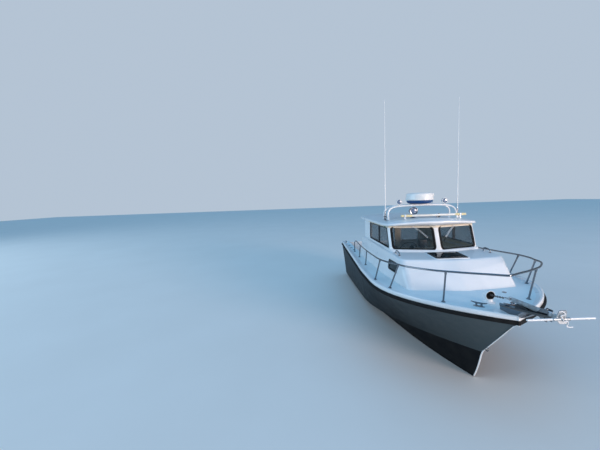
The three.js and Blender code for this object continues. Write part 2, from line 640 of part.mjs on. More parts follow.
// How far aft the visor's lip lies at a distance from the centreline.
function lipD(y) {
  const i = ROOF_STATIONS.findIndex(([, half]) => half >= y);
  if (i <= 0) return ROOF_STATIONS[0][0];
  const [[d0, y0], [d1, y1]] = [ROOF_STATIONS[i - 1], ROOF_STATIONS[i]];
  return d0 + ((d1 - d0) * (y - y0)) / (y1 - y0);
}

function roofUnderZ(d, y) {
  const [lip, shut] = [lipD(Math.abs(y)), shieldTopD(y) - ROOF_LAP];
  const open = shut > lip ? clampUnit((shut - d) / (shut - lip)) : 0;
  return ROOF_Z + camberAt(y) * open;
}

// Top of the roof along its straight sides.
function roofTopZ(y) {
  const share = Math.min(1, Math.abs(y) / ROOF_HALF);
  const i = ROOF_STEPS.findIndex((step, n) => n > 0 && share >= step);
  const [outer, inner] = [ROOF_STEPS[i - 1], ROOF_STEPS[i]];
  const height = (step) => ROOF_Z + ROOF_EDGE + camberAt(step * ROOF_HALF) + riseAt(ROOF_HALF * (1 - step));
  return height(inner) + ((height(outer) - height(inner)) * (share - inner)) / (outer - inner);
}

function roofRing([d, half], i, all) {
  const last = all.length - 1;
  const edge = ROOF_EDGE * (i === 0 || i === last ? 0.7 : 1);
  const over = ROOF_STEPS.map((step) => {
    const y = half * step;
    const inside = Math.min(half - y, d - lipD(y), all[last][0] - d);
    return [y, ROOF_Z + edge + camberAt(y) + riseAt(inside)];
  });
  const under = ROOF_STEPS.map((step, n) => (n === 0 ? half - 10 : half * step))
    .map((y) => [y, roofUnderZ(d, y)]).reverse();
  const port = [...under, ...over].map(([y, z]) => at(d, y, z));
  const starboard = [...under.slice(1), ...over.slice(0, -1)].map(([y, z]) => at(d, -y, z)).reverse();
  return [...port, ...starboard];
}
add("cabin_roof", loft(ROOF_STATIONS.map(roofRing)), "gelcoat");

// Round foot for a rail or post that stands on a surface.
const foot = (d, y, z, radius = 34, high = 8) => rod(at(d, y, z), at(d, y, z + high), radius, 12);

// Bow rail: one loop of tube from one side of the house round the bow to the other.
const RAIL = { radius: 16, postRadius: 14, tipD: 215, tipHigh: 544 };
// Columns: d, y, height over the deck.
const RAIL_LINE = [
  [5420, 1225, 5], [5380, 1232, 300], [5180, 1240, 392], [4300, 1290, 408], [3300, 1345, 430],
  [2400, 1385, 462], [1850, 1395, 488], [1480, 1325, 504], [1240, 1228, 514], [1110, 1190, 519],
  [960, 1100, 524], [700, 850, 530], [580, 680, 534], [440, 450, 538], [330, 235, 541], [250, 90, 543],
];
// Columns: foot d, foot y, top d, top y, height of the top.
const STANCHIONS = [
  [4520, 1255, 4200, 1296, 409], [3480, 1310, 3150, 1352, 434], [2110, 1420, 1830, 1392, 489],
  [1500, 1300, 1235, 1226, 514], [700, 690, 600, 709, 533],
];

function bowRail() {
  const rise = (d, y, high) => at(d, y, deckZ(d) + high);
  const port = RAIL_LINE.map((row) => rise(...row));
  const tip = rise(RAIL.tipD, 0, RAIL.tipHigh);
  const starboard = RAIL_LINE.map(([d, y, high]) => rise(d, -y, high)).reverse();
  const rail = tube([...port, tip, ...starboard], RAIL.radius, 92, 8);
  const [endD, endY] = RAIL_LINE[0];
  const posts = [];
  for (const sign of [1, -1]) {
    for (const [d, y, topD, topY, high] of STANCHIONS) {
      posts.push(rod(at(d, sign * y, deckZ(d) + 10.5), rise(topD, sign * topY, high), RAIL.postRadius, 8));
      posts.push(foot(d, sign * y, deckZ(d) + GAP + 0.5));
    }
    posts.push(foot(endD, sign * endY, deckZ(endD) + GAP + 0.5));
  }
  return join(rail, ...posts);
}
add("bow_rail", bowRail(), "stainless");

// Short grab handles on the trunk top.
const GRAB = { d0: 2010, d1: 2230, y: 940, high: 66, radius: 11 };
addPair("trunk_grab_rail", (sign) => {
  const { d0, d1, high, radius } = GRAB;
  const y = sign * GRAB.y;
  // Columns: d, height over the trunk.
  const line = [
    [d0, 4], [d0 + 12, high - 16], [d0 + 50, high], [d1 - 50, high], [d1 - 12, high - 16], [d1, 4],
  ];
  const bar = tube(line.map(([d, up]) => at(d, y, trunkTopZ(d) + up)), radius, 16, 8);
  const feet = [d0, d1].map((d) => foot(d, y, trunkTopZ(d + 26) + 1.2, 24, 7));
  return join(bar, ...feet);
}, "stainless");

// Radar arch: two hoops of white tube tied by short bars, with the radar's plate on top.
const ARCH = {
  foreD: 3080, aftD: 3430, half: 830, topZ: 2985, radius: 23, plateHigh: 34, lampY: 555, footRadius: 42,
};

const archFootZ = roofTopZ(ARCH.half - ARCH.footRadius) + 1;

function hoop(d, lean) {
  const { half, topZ } = ARCH;
  const footZ = roofTopZ(half - ARCH.radius) + 2;
  // Columns: y, z.
  const line = [
    [half, footZ + 4], [half - 8, footZ + 180], [half - 60, topZ - 72], [half - 170, topZ - 22],
    [half * 0.45, topZ],
  ];
  const place = (y, z) => at(d + lean * ((z - footZ) / (topZ - footZ)), y, z);
  const port = line.map(([y, z]) => place(y, z));
  const starboard = line.map(([y, z]) => place(-y, z)).reverse();
  return tube([...port, at(d + lean, 0, topZ + 6), ...starboard], ARCH.radius, 44, 8);
}

function radarArch() {
  const { foreD, aftD, half, topZ } = ARCH;
  const [fore, aft] = [hoop(foreD, 70), hoop(aftD, -30)];
  const ties = [-640, -200, 200, 640].map((y) => {
    const z = Math.abs(y) > 500 ? topZ - 18 : topZ + 2;
    return rod(at(foreD + 60, y, z), at(aftD - 20, y, z), 17, 8);
  });
  const plateTop = block(foreD + 90, aftD - 40, -230, 230, topZ + 4, topZ + ARCH.plateHigh);
  const feet = [];
  for (const sign of [1, -1]) {
    for (const d of [foreD, aftD]) feet.push(foot(d, sign * half, archFootZ, ARCH.footRadius, 12));
    feet.push(foot(foreD + 64, sign * ARCH.lampY, topZ - 20, 20, 36));
  }
  return join(fore, aft, plateTop, ...ties, ...feet);
}
add("radar_arch", radarArch(), "gelcoat");

// Radar: a blue pan with a white domed cover.
const RADAR = { d: 3265, z: ARCH.topZ + ARCH.plateHigh + GAP, radius: 325 };
const PAN_HIGH = 84;
const radarFoot = at(RADAR.d, 0, RADAR.z);
add("radar_base", turned(
  [[0, 0], [190, 0], [235, 20], [RADAR.radius - 22, 62], [RADAR.radius - 6, PAN_HIGH], [0, PAN_HIGH]],
  radarFoot, UP, 28,
), "radarBlue");
add("radar_dome", turned(
  [[0, PAN_HIGH + GAP], [RADAR.radius, PAN_HIGH + GAP], [RADAR.radius, 128], [RADAR.radius - 14, 218],
    [RADAR.radius - 48, 248], [150, 262], [0, 266]],
  radarFoot, UP, 28,
), "gelcoat");

// Work lamps on the arch, facing forward. Columns: radius, distance forward.
const LAMP_SHELL = [[0, -46], [40, -44], [66, -18], [68, 40], [58, 48], [0, 48]];
addPair("deck_light", (sign) => {
  const [d, y] = [ARCH.foreD + 64, sign * ARCH.lampY];
  const z = ARCH.topZ + 16;
  const post = rod(at(d, y, z + GAP), at(d, y, z + 26), 14, 10);
  return join(post, turned(LAMP_SHELL, at(d, y, z + 79), FORWARD, 16));
}, "gelcoat");

// Search lamp on a short post on the roof. Columns of its shell: radius, distance forward.
const SEARCH = { d: 2985, y: -270, high: 166 };
const SEARCH_SHELL = [[0, -74], [50, -68], [84, -30], [97, 30], [97, 62], [86, 66], [0, 66]];
function searchLight() {
  const { d, y, high } = SEARCH;
  const base = roofTopZ(y + 60) + 0.4;
  const post = rod(at(d, y, base), at(d, y, base + 100), 28, 14);
  return join(post, foot(d, y, base, 60, 12), turned(SEARCH_SHELL, at(d, y, base + high), FORWARD, 20));
}
add("search_light", searchLight(), "stainless");

// Long tubular work light across the roof on two brackets.
const LIGHT_BAR = { d: 2830, y0: -610, y1: 900, z: 2757, radius: 27 };
function lightBar() {
  const { d, y0, y1, z, radius } = LIGHT_BAR;
  const bar = rod(at(d, y0, z), at(d, y1, z), radius, 14);
  const caps = [[y0, y0 + 40], [y1 - 40, y1]].map(([a, b]) => rod(at(d, a, z), at(d, b, z), radius + 5, 14));
  const brackets = [y0 + 90, y1 - 130].map((y) => {
    const low = Math.max(roofTopZ(y - 18), roofTopZ(y + 18)) + 0.4;
    const web = block(d - 12, d + 12, y - 18, y + 18, low, z - 10);
    return join(web, block(d - 40, d + 40, y - 18, y + 18, low, low + 8));
  });
  return join(bar, ...caps, ...brackets);
}
add("roof_light_bar", lightBar(), "cream");

// Whip aerials on fold-down mounts outboard of the arch.
const WHIP = { d: 3150, y: 885, baseRadius: 40, length: 2790 };
const whipBaseZ = roofTopZ(WHIP.y - WHIP.baseRadius) + 0.4;
const whipFoldZ = whipBaseZ + 90;
addPair("whip_mount", (sign) => {
  const [d, y, z] = [WHIP.d, sign * WHIP.y, whipFoldZ];
  const base = foot(d, y, whipBaseZ, WHIP.baseRadius, 14);
  const post = rod(at(d, y, whipBaseZ + 10), at(d, y, z - 34), 24, 12);
  const cheeks = [-27, 15].map((inner) => block(d - 22, d + 22, y + inner, y + inner + 12, z - 44, z + 20));
  const bridge = block(d - 22, d + 22, y - 27, y + 27, z - 46, z - 32);
  return join(base, post, bridge, ...cheeks);
}, "stainless");
addPair("whip_aerial", (sign) => {
  const [d, y, z] = [WHIP.d, sign * WHIP.y, whipFoldZ];
  return join(
    rod(at(d, y, z - 14), at(d, y, z + 150), 13, 10),
    rod(at(d, y, z + 140), at(d, y, z + 1250), 11, 8, 8),
    rod(at(d, y, z + 1245), at(d, y, z + WHIP.length), 7, 8, 4),
    rod(at(d, y - 14.6, z), at(d, y + 14.6, z), 9, 10),
  );
}, "whip");

// Wipers hang from the head of each pane. Places are the distance along the pane, up it and out of it.
addPair("wiper", (sign) => {
  const place = (along, up, out) =>
    shieldFoot.clone().addScaledVector(shieldRight(sign), along).addScaledVector(shieldUp, up)
      .addScaledVector(shieldOut(sign), out);
  const head = SHIELD_HEIGHT - 24;
  const hub = rod(place(472, head, 0.7), place(472, head, 26), 12, 10);
  const arm = rod(place(472, head, 22), place(205, 318, 16), 5, 6);
  const blade = rod(place(265, 400, 14), place(128, 215, 14), 6, 6);
  return join(hub, arm, blade);
}, "black");

// Helm: a moulded dash under the windshield with the wheel to starboard.
const WHEEL = { d: 3105, y: -340, z: 1930, radius: 195 };
const wheelAxis = new THREE.Vector3(-0.86, 0, 0.51).normalize();
const wheelHub = at(WHEEL.d, WHEEL.y, WHEEL.z);
const onWheelAxis = (reach) => wheelHub.clone().addScaledVector(wheelAxis, reach);
const DASH = { d0: 2660, edge: 2900, d1: 3040, foot: 2930, topZ: 1990, y0: -895, y1: -60 };
function dash() {
  const { d0, edge, d1, topZ, y0, y1 } = DASH;
  const sole = CABIN_SOLE_Z + GAP;
  const body = sidePlate(profile([
    [d0, sole], [d0, topZ], [edge, topZ], [d1, 1800], [d1, 1640], [DASH.foot, 1500], [DASH.foot, sole],
  ]), y0, y1);
  const low = block(2600, CABIN_FRONT_D + GAP, -1200, 1200, 0, 1500);
  const shelf = block(d0, 2860, y1 - 5, 895, topZ - 36, topZ);
  const helm = rod(onWheelAxis(-34.4), onWheelAxis(-150), 48, 16);
  return join(cut(body, low), shelf, helm);
}
add("dash_console", dash(), "interior");
const PLOTTER = { d: 2820, y: -110, high: 200, half: 95 };
add("chart_plotter", join(
  block(PLOTTER.d - 30, PLOTTER.d + 30, PLOTTER.y - PLOTTER.half, PLOTTER.y + PLOTTER.half,
    DASH.topZ + 40, DASH.topZ + PLOTTER.high),
  block(PLOTTER.d - 24, PLOTTER.d + 24, PLOTTER.y - 45, PLOTTER.y + 45, DASH.topZ + GAP, DASH.topZ + 45),
), "black");

function steeringWheel() {
  const upward = wheelAxis.clone().cross(PORT).normalize();
  const rim = new THREE.TorusGeometry(WHEEL.radius, 13, 8, 28);
  const basis = new THREE.Matrix4().makeBasis(PORT, upward, PORT.clone().cross(upward)).setPosition(wheelHub);
  const spokes = [90, 210, 330].map((angle) => {
    const a = (angle * Math.PI) / 180;
    const end = wheelHub.clone().addScaledVector(PORT, Math.cos(a) * WHEEL.radius)
      .addScaledVector(upward, Math.sin(a) * WHEEL.radius);
    return rod(wheelHub, end, 9, 6);
  });
  const boss = rod(onWheelAxis(-34), onWheelAxis(22), 38, 14);
  return join(moved(rim, basis), boss, ...spokes);
}
add("steering_wheel", steeringWheel(), "black");

// Two pedestal seats.
const SEAT = { d: 3760, topZ: 1300, pad: 92, half: 235 };
for (const [name, y] of [["helm", -430], ["mate", 430]]) {
  const { d, topZ, pad, half } = SEAT;
  const column = rod(at(d, y, CABIN_SOLE_Z + 10), at(d, y, topZ - pad - 6), 42, 12);
  const tray = block(d - 150, d + 150, y - 150, y + 150, topZ - pad - 20, topZ - pad);
  add(`${name}_seat_post`, join(column, foot(d, y, CABIN_SOLE_Z + GAP, 150, 16), tray), "stainless");
  const cushion = block(d - 225, d + 225, y - half, y + half, topZ - pad + GAP, topZ);
  const back = block(d + 165, d + 245, y - half, y + half, topZ - 40, topZ + 430);
  add(`${name}_seat_cushion`, join(cushion, back), "vinyl");
}

// Anchor of the pivoting-fluke kind, stowed with its shank over the bow roller and its flukes aft.
const ANCHOR = {
  axisD: -590, axisZ: 1755, tailD: 130, tailZ: 1715, high: 64, tailHigh: 60, half: 11, pin: 18,
  stockHalf: 390, stockRadius: 12.5, droop: 0.184,
};
// Edge of the shank at d, below its middle line for side -1 and above it for side 1.
function shankZ(d, side) {
  const share = (d - ANCHOR.axisD) / (ANCHOR.tailD - ANCHOR.axisD);
  const middle = ANCHOR.axisZ + (ANCHOR.tailZ - ANCHOR.axisZ) * share;
  return middle + (side * (ANCHOR.high + (ANCHOR.tailHigh - ANCHOR.high) * share)) / 2;
}

// Bow roller: a narrow channel that climbs to the bow on a solid web, with a bail over the shank.
const CHANNEL = { d0: -370, d1: 350, lowZ: 1560, slope: 0.182, half: 34, wall: 8 };
const channelZ = (d) => CHANNEL.lowZ + CHANNEL.slope * (CHANNEL.d1 - d);
const ROLLER = { d: -410, groove: 26, bailZ: 1793 };
function bowRoller() {
  const { d0, d1, half, wall } = CHANNEL;
  const z = shankZ(ROLLER.d, -1) - ROLLER.groove - GAP;
  const floor = profile([
    [d1, channelZ(d1) - wall], [d0, channelZ(d0) - wall], [d0, channelZ(d0)], [d1, channelZ(d1)],
  ]);
  const cheek = profile([
    [d1, channelZ(d1) - wall], [-330, channelZ(-330) - wall], [-380, z - 36], [-446, z - 36],
    [-452, ROLLER.bailZ + 7], [-372, ROLLER.bailZ + 7], [-300, channelZ(-300) + 46], [d1, channelZ(d1) + 30],
  ]);
  const toeTop = deckZ(0) + TOE_RAIL.height + GAP;
  const web = profile([
    [d1 - 10, deckZ(d1 - 10) + GAP], [60, deckZ(60) + GAP], [44, toeTop], [-60, toeTop],
    [-250, channelZ(-250) - 4], [d1 - 10, channelZ(d1 - 10) - 4],
  ]);
  const { groove } = ROLLER;
  const wheel = turned(
    [[0, -24], [34, -24], [34, -19], [groove, -15], [groove, 15], [34, 19], [34, 24], [0, 24]],
    at(ROLLER.d, 0, z), PORT, 14,
  );
  return join(
    sidePlate(floor, -half, half), sidePlate(cheek, half - wall, half), sidePlate(cheek, -half, wall - half),
    sidePlate(web, 4 - half, half - 4), wheel,
    rod(at(ROLLER.d, -half - 8, z), at(ROLLER.d, half + 8, z), 9, 10),
    rod(at(ROLLER.d, -half, ROLLER.bailZ), at(ROLLER.d, half, ROLLER.bailZ), 6, 8),
  );
}
add("bow_roller", bowRoller(), "stainless");

function anchorShank() {
  const { tailD, tailZ, half } = ANCHOR;
  const end = ANCHOR.axisD + ANCHOR.pin + GAP;
  const shank = sidePlate(profile([
    [end, shankZ(end, -1)], [end, shankZ(end, 1)], [tailD, shankZ(tailD, 1)], [tailD, shankZ(tailD, -1)],
  ]), -half, half);
  const collar = block(-480, -350, -18, 18, 1727, ROLLER.bailZ - 10);
  return join(shank, collar, rod(at(tailD - 4, -12, tailZ), at(tailD - 4, 12, tailZ), 26, 12));
}
add("anchor_shank", anchorShank(), "galvanised");

function anchorFlukes() {
  const { axisD, axisZ, stockHalf, stockRadius, pin } = ANCHOR;
  const across = (y0, y1, radius, sides) => rod(at(axisD, y0, axisZ), at(axisD, y1, axisZ), radius, sides);
  const along = new THREE.Vector3(1, 0, ANCHOR.droop).normalize();
  const under = at(axisD, 0, axisZ - 5);
  // Columns: distance aft of the axis, y.
  const edge = [[14, 44], [14, 86], [205, 114], [790, 146], [770, 122], [500, 46]];
  const blades = [1, -1].map((side) =>
    plate(polygon(edge.map(([reach, y]) => [-reach, side * y])), 10, under, along, PORT));
  // Palms of the crown. Columns: tilt in degrees, length.
  const crown = [[78, 110], [-60, 50]].map(([tilt, long]) => {
    const lip = polygon([[0, -60], [0, 60], [long, 45], [long, -45]]);
    const a = (tilt * Math.PI) / 180;
    const lean = new THREE.Vector3(Math.cos(a), 0, Math.sin(a));
    return plate(lip, 8, at(axisD, 0, axisZ + Math.sign(tilt) * 4), lean, PORT);
  });
  const bosses = [1, -1].map((side) => across(side * 20, side * 95, 22, 12));
  const stock = across(-stockHalf, stockHalf, stockRadius, 12);
  return join(stock, across(-34, 34, pin, 16), ...bosses, ...blades, ...crown);
}
add("anchor_flukes", anchorFlukes(), "galvanised");

// Hooded deck pipe that swallows the chain. Its mouth faces forward.
const PIPE = { d: 638, z: 1610 };
function chainPipe() {
  const { d, z } = PIPE;
  const base = foot(d, 0, deckZ(d) + GAP + 1, 92, 10);
  const hood = turned([[0, -80], [46, -70], [72, -30], [76, 46], [64, 46], [58, -24], [0, -56]],
    at(d, 0, z), FORWARD, 20);
  return join(base, hood, rod(at(d + 10, 0, deckZ(d) + 4), at(d + 10, 0, z - 50), 58, 16));
}
add("chain_pipe", chainPipe(), "gelcoat");

// Chain from the anchor's eye into the pipe: joined links, each turned a quarter.
const CHAIN = { links: 14, ring: 11.8, wire: 5, stretch: 1.45 };
function anchorChain() {
  const start = at(ANCHOR.tailD + 20, 0, ANCHOR.tailZ);
  const end = at(PIPE.d + 40, 0, PIPE.z);
  const turnTo = new THREE.Quaternion().setFromUnitVectors(FORWARD, end.clone().sub(start).normalize());
  const links = [];
  for (let i = 0; i < CHAIN.links; i++) {
    const spin = new THREE.Quaternion().setFromAxisAngle(FORWARD, (i % 2) * (Math.PI / 2));
    const geometry = new THREE.TorusGeometry(CHAIN.ring, CHAIN.wire, 6, 10);
    const middle = start.clone().lerp(end, (i + 0.5) / CHAIN.links);
    const size = new THREE.Vector3(CHAIN.stretch, 1, 1);
    links.push(moved(geometry, new THREE.Matrix4().compose(middle, turnTo.clone().multiply(spin), size)));
  }
  return join(...links);
}
add("anchor_chain", cut(anchorChain(), meshes.chain_pipe, meshes.anchor_shank), "galvanised");

// Mooring cleats. Columns: name, d, y, turn of the horns.
for (const [name, d, y, turn] of [
  ["bow_cleat_port", 470, 260, 0.9], ["bow_cleat_stbd", 470, -260, -0.9],
  ["stern_cleat_port", 7560, 1165, 0.02], ["stern_cleat_stbd", 7560, -1165, -0.02],
]) {
  const z = deckZ(d) + GAP + 2;
  const along = new THREE.Vector3(Math.cos(turn), -Math.sin(turn), 0);
  const horn = (reach, up) => at(d, y, z + 52 + up).addScaledVector(along, reach);
  add(name, join(
    rod(horn(-105, 6), horn(105, 6), 11, 8),
    rod(horn(-34, -50), horn(-34, 4), 13, 8),
    rod(horn(34, -50), horn(34, 4), 13, 8),
    rod(at(d, y, z - 1), at(d, y, z + 5), 62, 12),
  ), "stainless");
}

// Outboard engine on a float bracket behind the transom.
const BRACKET = { d1: 8690, half: 360, low: -120, high: 250, towerZ: 330 };
function motorBracket() {
  const { d1, half, low, high, towerZ } = BRACKET;
  const face = HULL_LENGTH + GAP;
  const tub = sidePlate(profile([
    [face, low], [face, 420], [8080, high + 20], [d1, high], [d1, -20], [8420, low],
  ]), -half, half);
  return join(tub, block(d1 - 80, d1, -190, 190, high - 5, towerZ));
}
add("motor_bracket", motorBracket(), "gelcoat");

const TILT = { d: 8740, z: 420, radius: 30, half: 137.6 };
const STEER_D = 8822;
const MOTOR = { sleeveLow: 40, sleeveTop: 482, legTop: 530, plateZ: -430 };

function motorClamp() {
  const face = BRACKET.d1 + GAP;
  const cheek = profile([[face, -10], [face, 462], [8762, 462], [8786, 432], [8786, 396], [8730, 60]]);
  const back = block(face, BRACKET.d1 + 14, -166, 166, 20, 372);
  return join(back, sidePlate(cheek, 138, 166), sidePlate(cheek, -166, -138));
}
add("motor_clamp", motorClamp(), "engine");

function motorSwivel() {
  const pin = rod(at(TILT.d, -TILT.half, TILT.z), at(TILT.d, TILT.half, TILT.z), TILT.radius, 14);
  const arms = block(TILT.d, STEER_D, -86, 86, TILT.z - 28, TILT.z + 28);
  const sleeve = rod(at(STEER_D, 0, MOTOR.sleeveLow), at(STEER_D, 0, MOTOR.sleeveTop), 46, 16);
  return join(pin, arms, sleeve);
}
add("motor_swivel", motorSwivel(), "engine");

// Leg with gearcase. Columns: d forward, d aft, half thickness, z.
const PROP = { z: -650, d0: 9150.4, radius: 198 };
function motorLeg() {
  const rows = [
    [8896, 9130, 100, MOTOR.legTop], [8896, 9125, 94, 380], [8905, 9110, 74, 60], [8915, 9105, 56, -200],
    [8930, 9140, 36, MOTOR.plateZ + 40], [8940, 9150, 30, MOTOR.plateZ - 40],
  ];
  const rings = rows.map(([d0, d1, half, z]) => {
    const long = d1 - d0;
    return [
      at(d0, 0, z), at(d0 + long * 0.15, half, z), at(d0 + long * 0.55, half, z), at(d1, half * 0.25, z),
      at(d1, -half * 0.25, z), at(d0 + long * 0.55, -half, z), at(d0 + long * 0.15, -half, z),
    ];
  });
  const mounts = join(
    block(8790, 8950, -110, 110, MOTOR.sleeveTop + 0.4, MOTOR.legTop),
    block(8796, 8950, -80, 80, MOTOR.sleeveLow - 80, MOTOR.sleeveLow - 0.4),
  );
  const plateShape = plan(mirrored([[8880, 60], [8980, 118], [9250, 128], [9320, 90]]));
  const antiVent = flatPlate(plateShape, MOTOR.plateZ, MOTOR.plateZ + 14);
  const torpedo = turned(
    [[0, 0], [26, 14], [50, 60], [62, 140], [62, 240], [54, 300], [0, 300]], at(8850, 0, PROP.z), AFT, 18,
  );
  const strutPlan = [[8920, 0], [8970, 26], [9070, 26], [9142, 6], [9142, -6], [9070, -26], [8970, -26]];
  const strut = loft([MOTOR.plateZ - 20, PROP.z - 20].map((z) => strutPlan.map(([d, y]) => at(d, y, z))));
  const skeg = sidePlate(profile([
    [8930, PROP.z - 20], [9010, PROP.z - 210], [9110, PROP.z - 230], [9110, PROP.z - 20],
  ]), -7, 7);
  return join(loft(rings), mounts, antiVent, torpedo, strut, skeg);
}
add("motor_leg", motorLeg(), "engine");

function motorCowl() {
  // Columns: height over the leg, front d, back d, half width.
  const rows = [
    [GAP, 8740, 9170, 185], [40, 8670, 9230, 230], [250, 8580, 9280, 270], [430, 8590, 9270, 262],
    [550, 8640, 9220, 225], [600, 8710, 9140, 160],
  ];
  const rings = rows.map(([up, d0, d1, half]) => {
    const [mid, reach] = [(d0 + d1) / 2, (d1 - d0) / 2];
    const points = [];
    for (let i = 0; i < 16; i++) {
      const a = (2 * Math.PI * i) / 16;
      const square = (v) => Math.sign(v) * Math.abs(v) ** 0.62;
      const [x, y] = [square(Math.cos(a)), square(Math.sin(a))];
      points.push(at(mid - reach * x, half * y, MOTOR.legTop + up - 0.05 * Math.max(0, up - 60) * x));
    }
    return points;
  });
  return loft(rings);
}
add("motor_cowl", motorCowl(), "engine");

function propeller() {
  const hub = turned([[0, 0], [52, 0], [58, 40], [50, 150], [0, 150]], at(PROP.d0, 0, PROP.z), AFT, 16);
  const blades = [0, 1, 2].map((i) => {
    const spin = new THREE.Quaternion().setFromAxisAngle(FORWARD, (i * 2 * Math.PI) / 3);
    // Columns: radius, half chord, pitch in degrees.
    const rings = [[34, 52, 52], [90, 74, 38], [150, 76, 27], [188, 42, 22], [PROP.radius, 16, 20]].map(
      ([radius, chord, pitch]) => {
        const a = (pitch * Math.PI) / 180;
        const lean = radius * 0.12;
        const edge = (c, t) => new THREE.Vector3(
          -(c * Math.sin(a)) - lean + t * Math.cos(a), c * Math.cos(a) + t * Math.sin(a), radius,
        );
        return [edge(-chord, 0), edge(0, 5), edge(chord, 0), edge(0, -5)];
      },
    );
    const centre = at(PROP.d0 + 72, 0, PROP.z);
    return loft(rings.map((ring) => ring.map((p) => p.applyQuaternion(spin).add(centre))));
  });
  return join(hub, ...blades);
}
add("propeller", propeller(), "stainless");

export default group;
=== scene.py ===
"""Looks of the pilothouse fishing boat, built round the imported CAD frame.

Metres. +X forward, +Y to port, +Z up, origin on the waterline amidships.
Places along the hull are given as d, the distance aft of the stem head.
"""
import math
from types import SimpleNamespace as Sizes

import bmesh
import bpy
from mathutils import Matrix, Vector


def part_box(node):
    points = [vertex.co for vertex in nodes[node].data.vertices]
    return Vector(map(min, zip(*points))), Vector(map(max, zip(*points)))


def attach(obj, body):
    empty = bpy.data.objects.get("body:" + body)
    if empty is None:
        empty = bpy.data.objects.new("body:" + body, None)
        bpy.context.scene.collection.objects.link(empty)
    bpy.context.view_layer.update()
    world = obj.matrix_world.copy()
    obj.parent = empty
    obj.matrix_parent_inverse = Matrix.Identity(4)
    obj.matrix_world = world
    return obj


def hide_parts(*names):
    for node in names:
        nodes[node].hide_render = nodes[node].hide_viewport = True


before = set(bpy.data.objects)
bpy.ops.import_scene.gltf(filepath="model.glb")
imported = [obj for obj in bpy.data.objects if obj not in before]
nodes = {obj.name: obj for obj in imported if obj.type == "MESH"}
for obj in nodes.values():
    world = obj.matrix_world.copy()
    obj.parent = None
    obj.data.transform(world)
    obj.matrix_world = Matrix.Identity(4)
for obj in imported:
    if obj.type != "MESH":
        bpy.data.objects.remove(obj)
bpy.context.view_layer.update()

# Driving sizes, the same as in the part's source
HULL_LENGTH = 7.9
MID = HULL_LENGTH / 2
DECK_LIFT = 0.0453
STEM_HEAD_Z = 1.454
SHEER_FALL = 0.0119
MAX_HALF_BEAM = 1.535
STEM_HALF = 0.014
STEM_CHINE_D = 0.76
KEEL_DEPTH = 0.52
COCKPIT_SOLE_Z = 0.4
CABIN_SOLE_Z = 0.6
BERTH_Z = 0.9
BULKHEAD_D = 4.896
TRUNK_TOP_Z = 2.0
TRUNK_BREAK_D = 2.19
TRUNK_SLOPE = 43 / 650
HOUSE_TOP_Z = 2.55
HOUSE_AFT_D = 4.946
HOUSE_OUTER_Y = 0.975
WALL = 0.045
# The gap that pieces keep where they touch
GAP = 0.0003

UP = Vector((0, 0, 1))
FORWARD = Vector((1, 0, 0))
AFT = -FORWARD
PORT = Vector((0, 1, 0))


def at(d, y, z):
    return Vector((MID - d, y, z))


def unit(t):
    """A share, held between 0 and 1."""
    return min(1.0, max(0.0, t))


def lerp(a, b, t):
    return a + (b - a) * t


def sheer_z(d):
    return STEM_HEAD_Z - SHEER_FALL * d


def deck_z(d):
    return sheer_z(d) + DECK_LIFT


def half_beam(d):
    bow = 1 - (1 - unit(d / 2.25)) ** 2.52
    stern = 1 - 0.16 * max(0.0, d - 3.0) / (HULL_LENGTH - 3.0)
    return MAX_HALF_BEAM * bow * stern


def trunk_top_z(d):
    return TRUNK_TOP_Z - TRUNK_SLOPE * max(0.0, TRUNK_BREAK_D - d)


# Materials: every one has colour, roughness and bump from nodes
def tree(name):
    material = bpy.data.materials.new(name)
    material.use_nodes = True
    return material, material.node_tree, material.node_tree.nodes["Principled BSDF"]


def texture_of(nt, kind, scale, stretch=(1, 1, 1)):
    """A texture on the piece's own coordinates."""
    coords = nt.nodes.new("ShaderNodeTexCoord")
    mapping = nt.nodes.new("ShaderNodeMapping")
    mapping.inputs["Scale"].default_value = stretch
    texture = nt.nodes.new(kind)
    texture.inputs["Scale"].default_value = scale
    nt.links.new(coords.outputs["Object"], mapping.inputs["Vector"])
    nt.links.new(mapping.outputs["Vector"], texture.inputs["Vector"])
    return texture


def noise_of(nt, scale, detail, stretch=(1, 1, 1)):
    texture = texture_of(nt, "ShaderNodeTexNoise", scale, stretch)
    texture.inputs["Detail"].default_value = detail
    texture.inputs["Roughness"].default_value = 0.55
    return texture.outputs["Fac"]


def spread(nt, value, low, high, out_low, out_high):
    """Maps a value between low and high to the output's range."""
    node = nt.nodes.new("ShaderNodeMapRange")
    for socket, number in (("From Min", low), ("From Max", high), ("To Min", out_low), ("To Max", out_high)):
        node.inputs[socket].default_value = number
    nt.links.new(value, node.inputs["Value"])
    return node.outputs["Result"]


def blend_colour(nt, fac, a, b):
    node = nt.nodes.new("ShaderNodeMix")
    node.data_type = "RGBA"
    for socket, colour in ((node.inputs[6], a), (node.inputs[7], b)):
        if isinstance(colour, tuple):
            socket.default_value = (*colour, 1)
        else:
            nt.links.new(colour, socket)
    nt.links.new(fac, node.inputs[0])
    return node.outputs[2]


def two_tones(nt, noise, low, high, colour, other, most=1):
    """One colour, turning to the other as the noise rises from low to high."""
    return blend_colour(nt, spread(nt, noise, low, high, 0, most), colour, other)


def finish_with(nt, shader, colour, rough=None, bump=None, **numbers):
    """Links a surface's colour and roughness, and sets its bump and its plain numbers.

    bump holds the height, the strength and the distance. Numbers are named as the shader's sockets are.
    """
    nt.links.new(colour, shader.inputs["Base Color"])
    if rough:
        nt.links.new(rough, shader.inputs["Roughness"])
    for socket, number in numbers.items():
        shader.inputs[socket.replace("_", " ")].default_value = number
    if bump:
        node = nt.nodes.new("ShaderNodeBump")
        node.inputs["Strength"].default_value = bump[1]
        node.inputs["Distance"].default_value = bump[2]
        nt.links.new(bump[0], node.inputs["Height"])
        nt.links.new(node.outputs["Normal"], shader.inputs["Normal"])


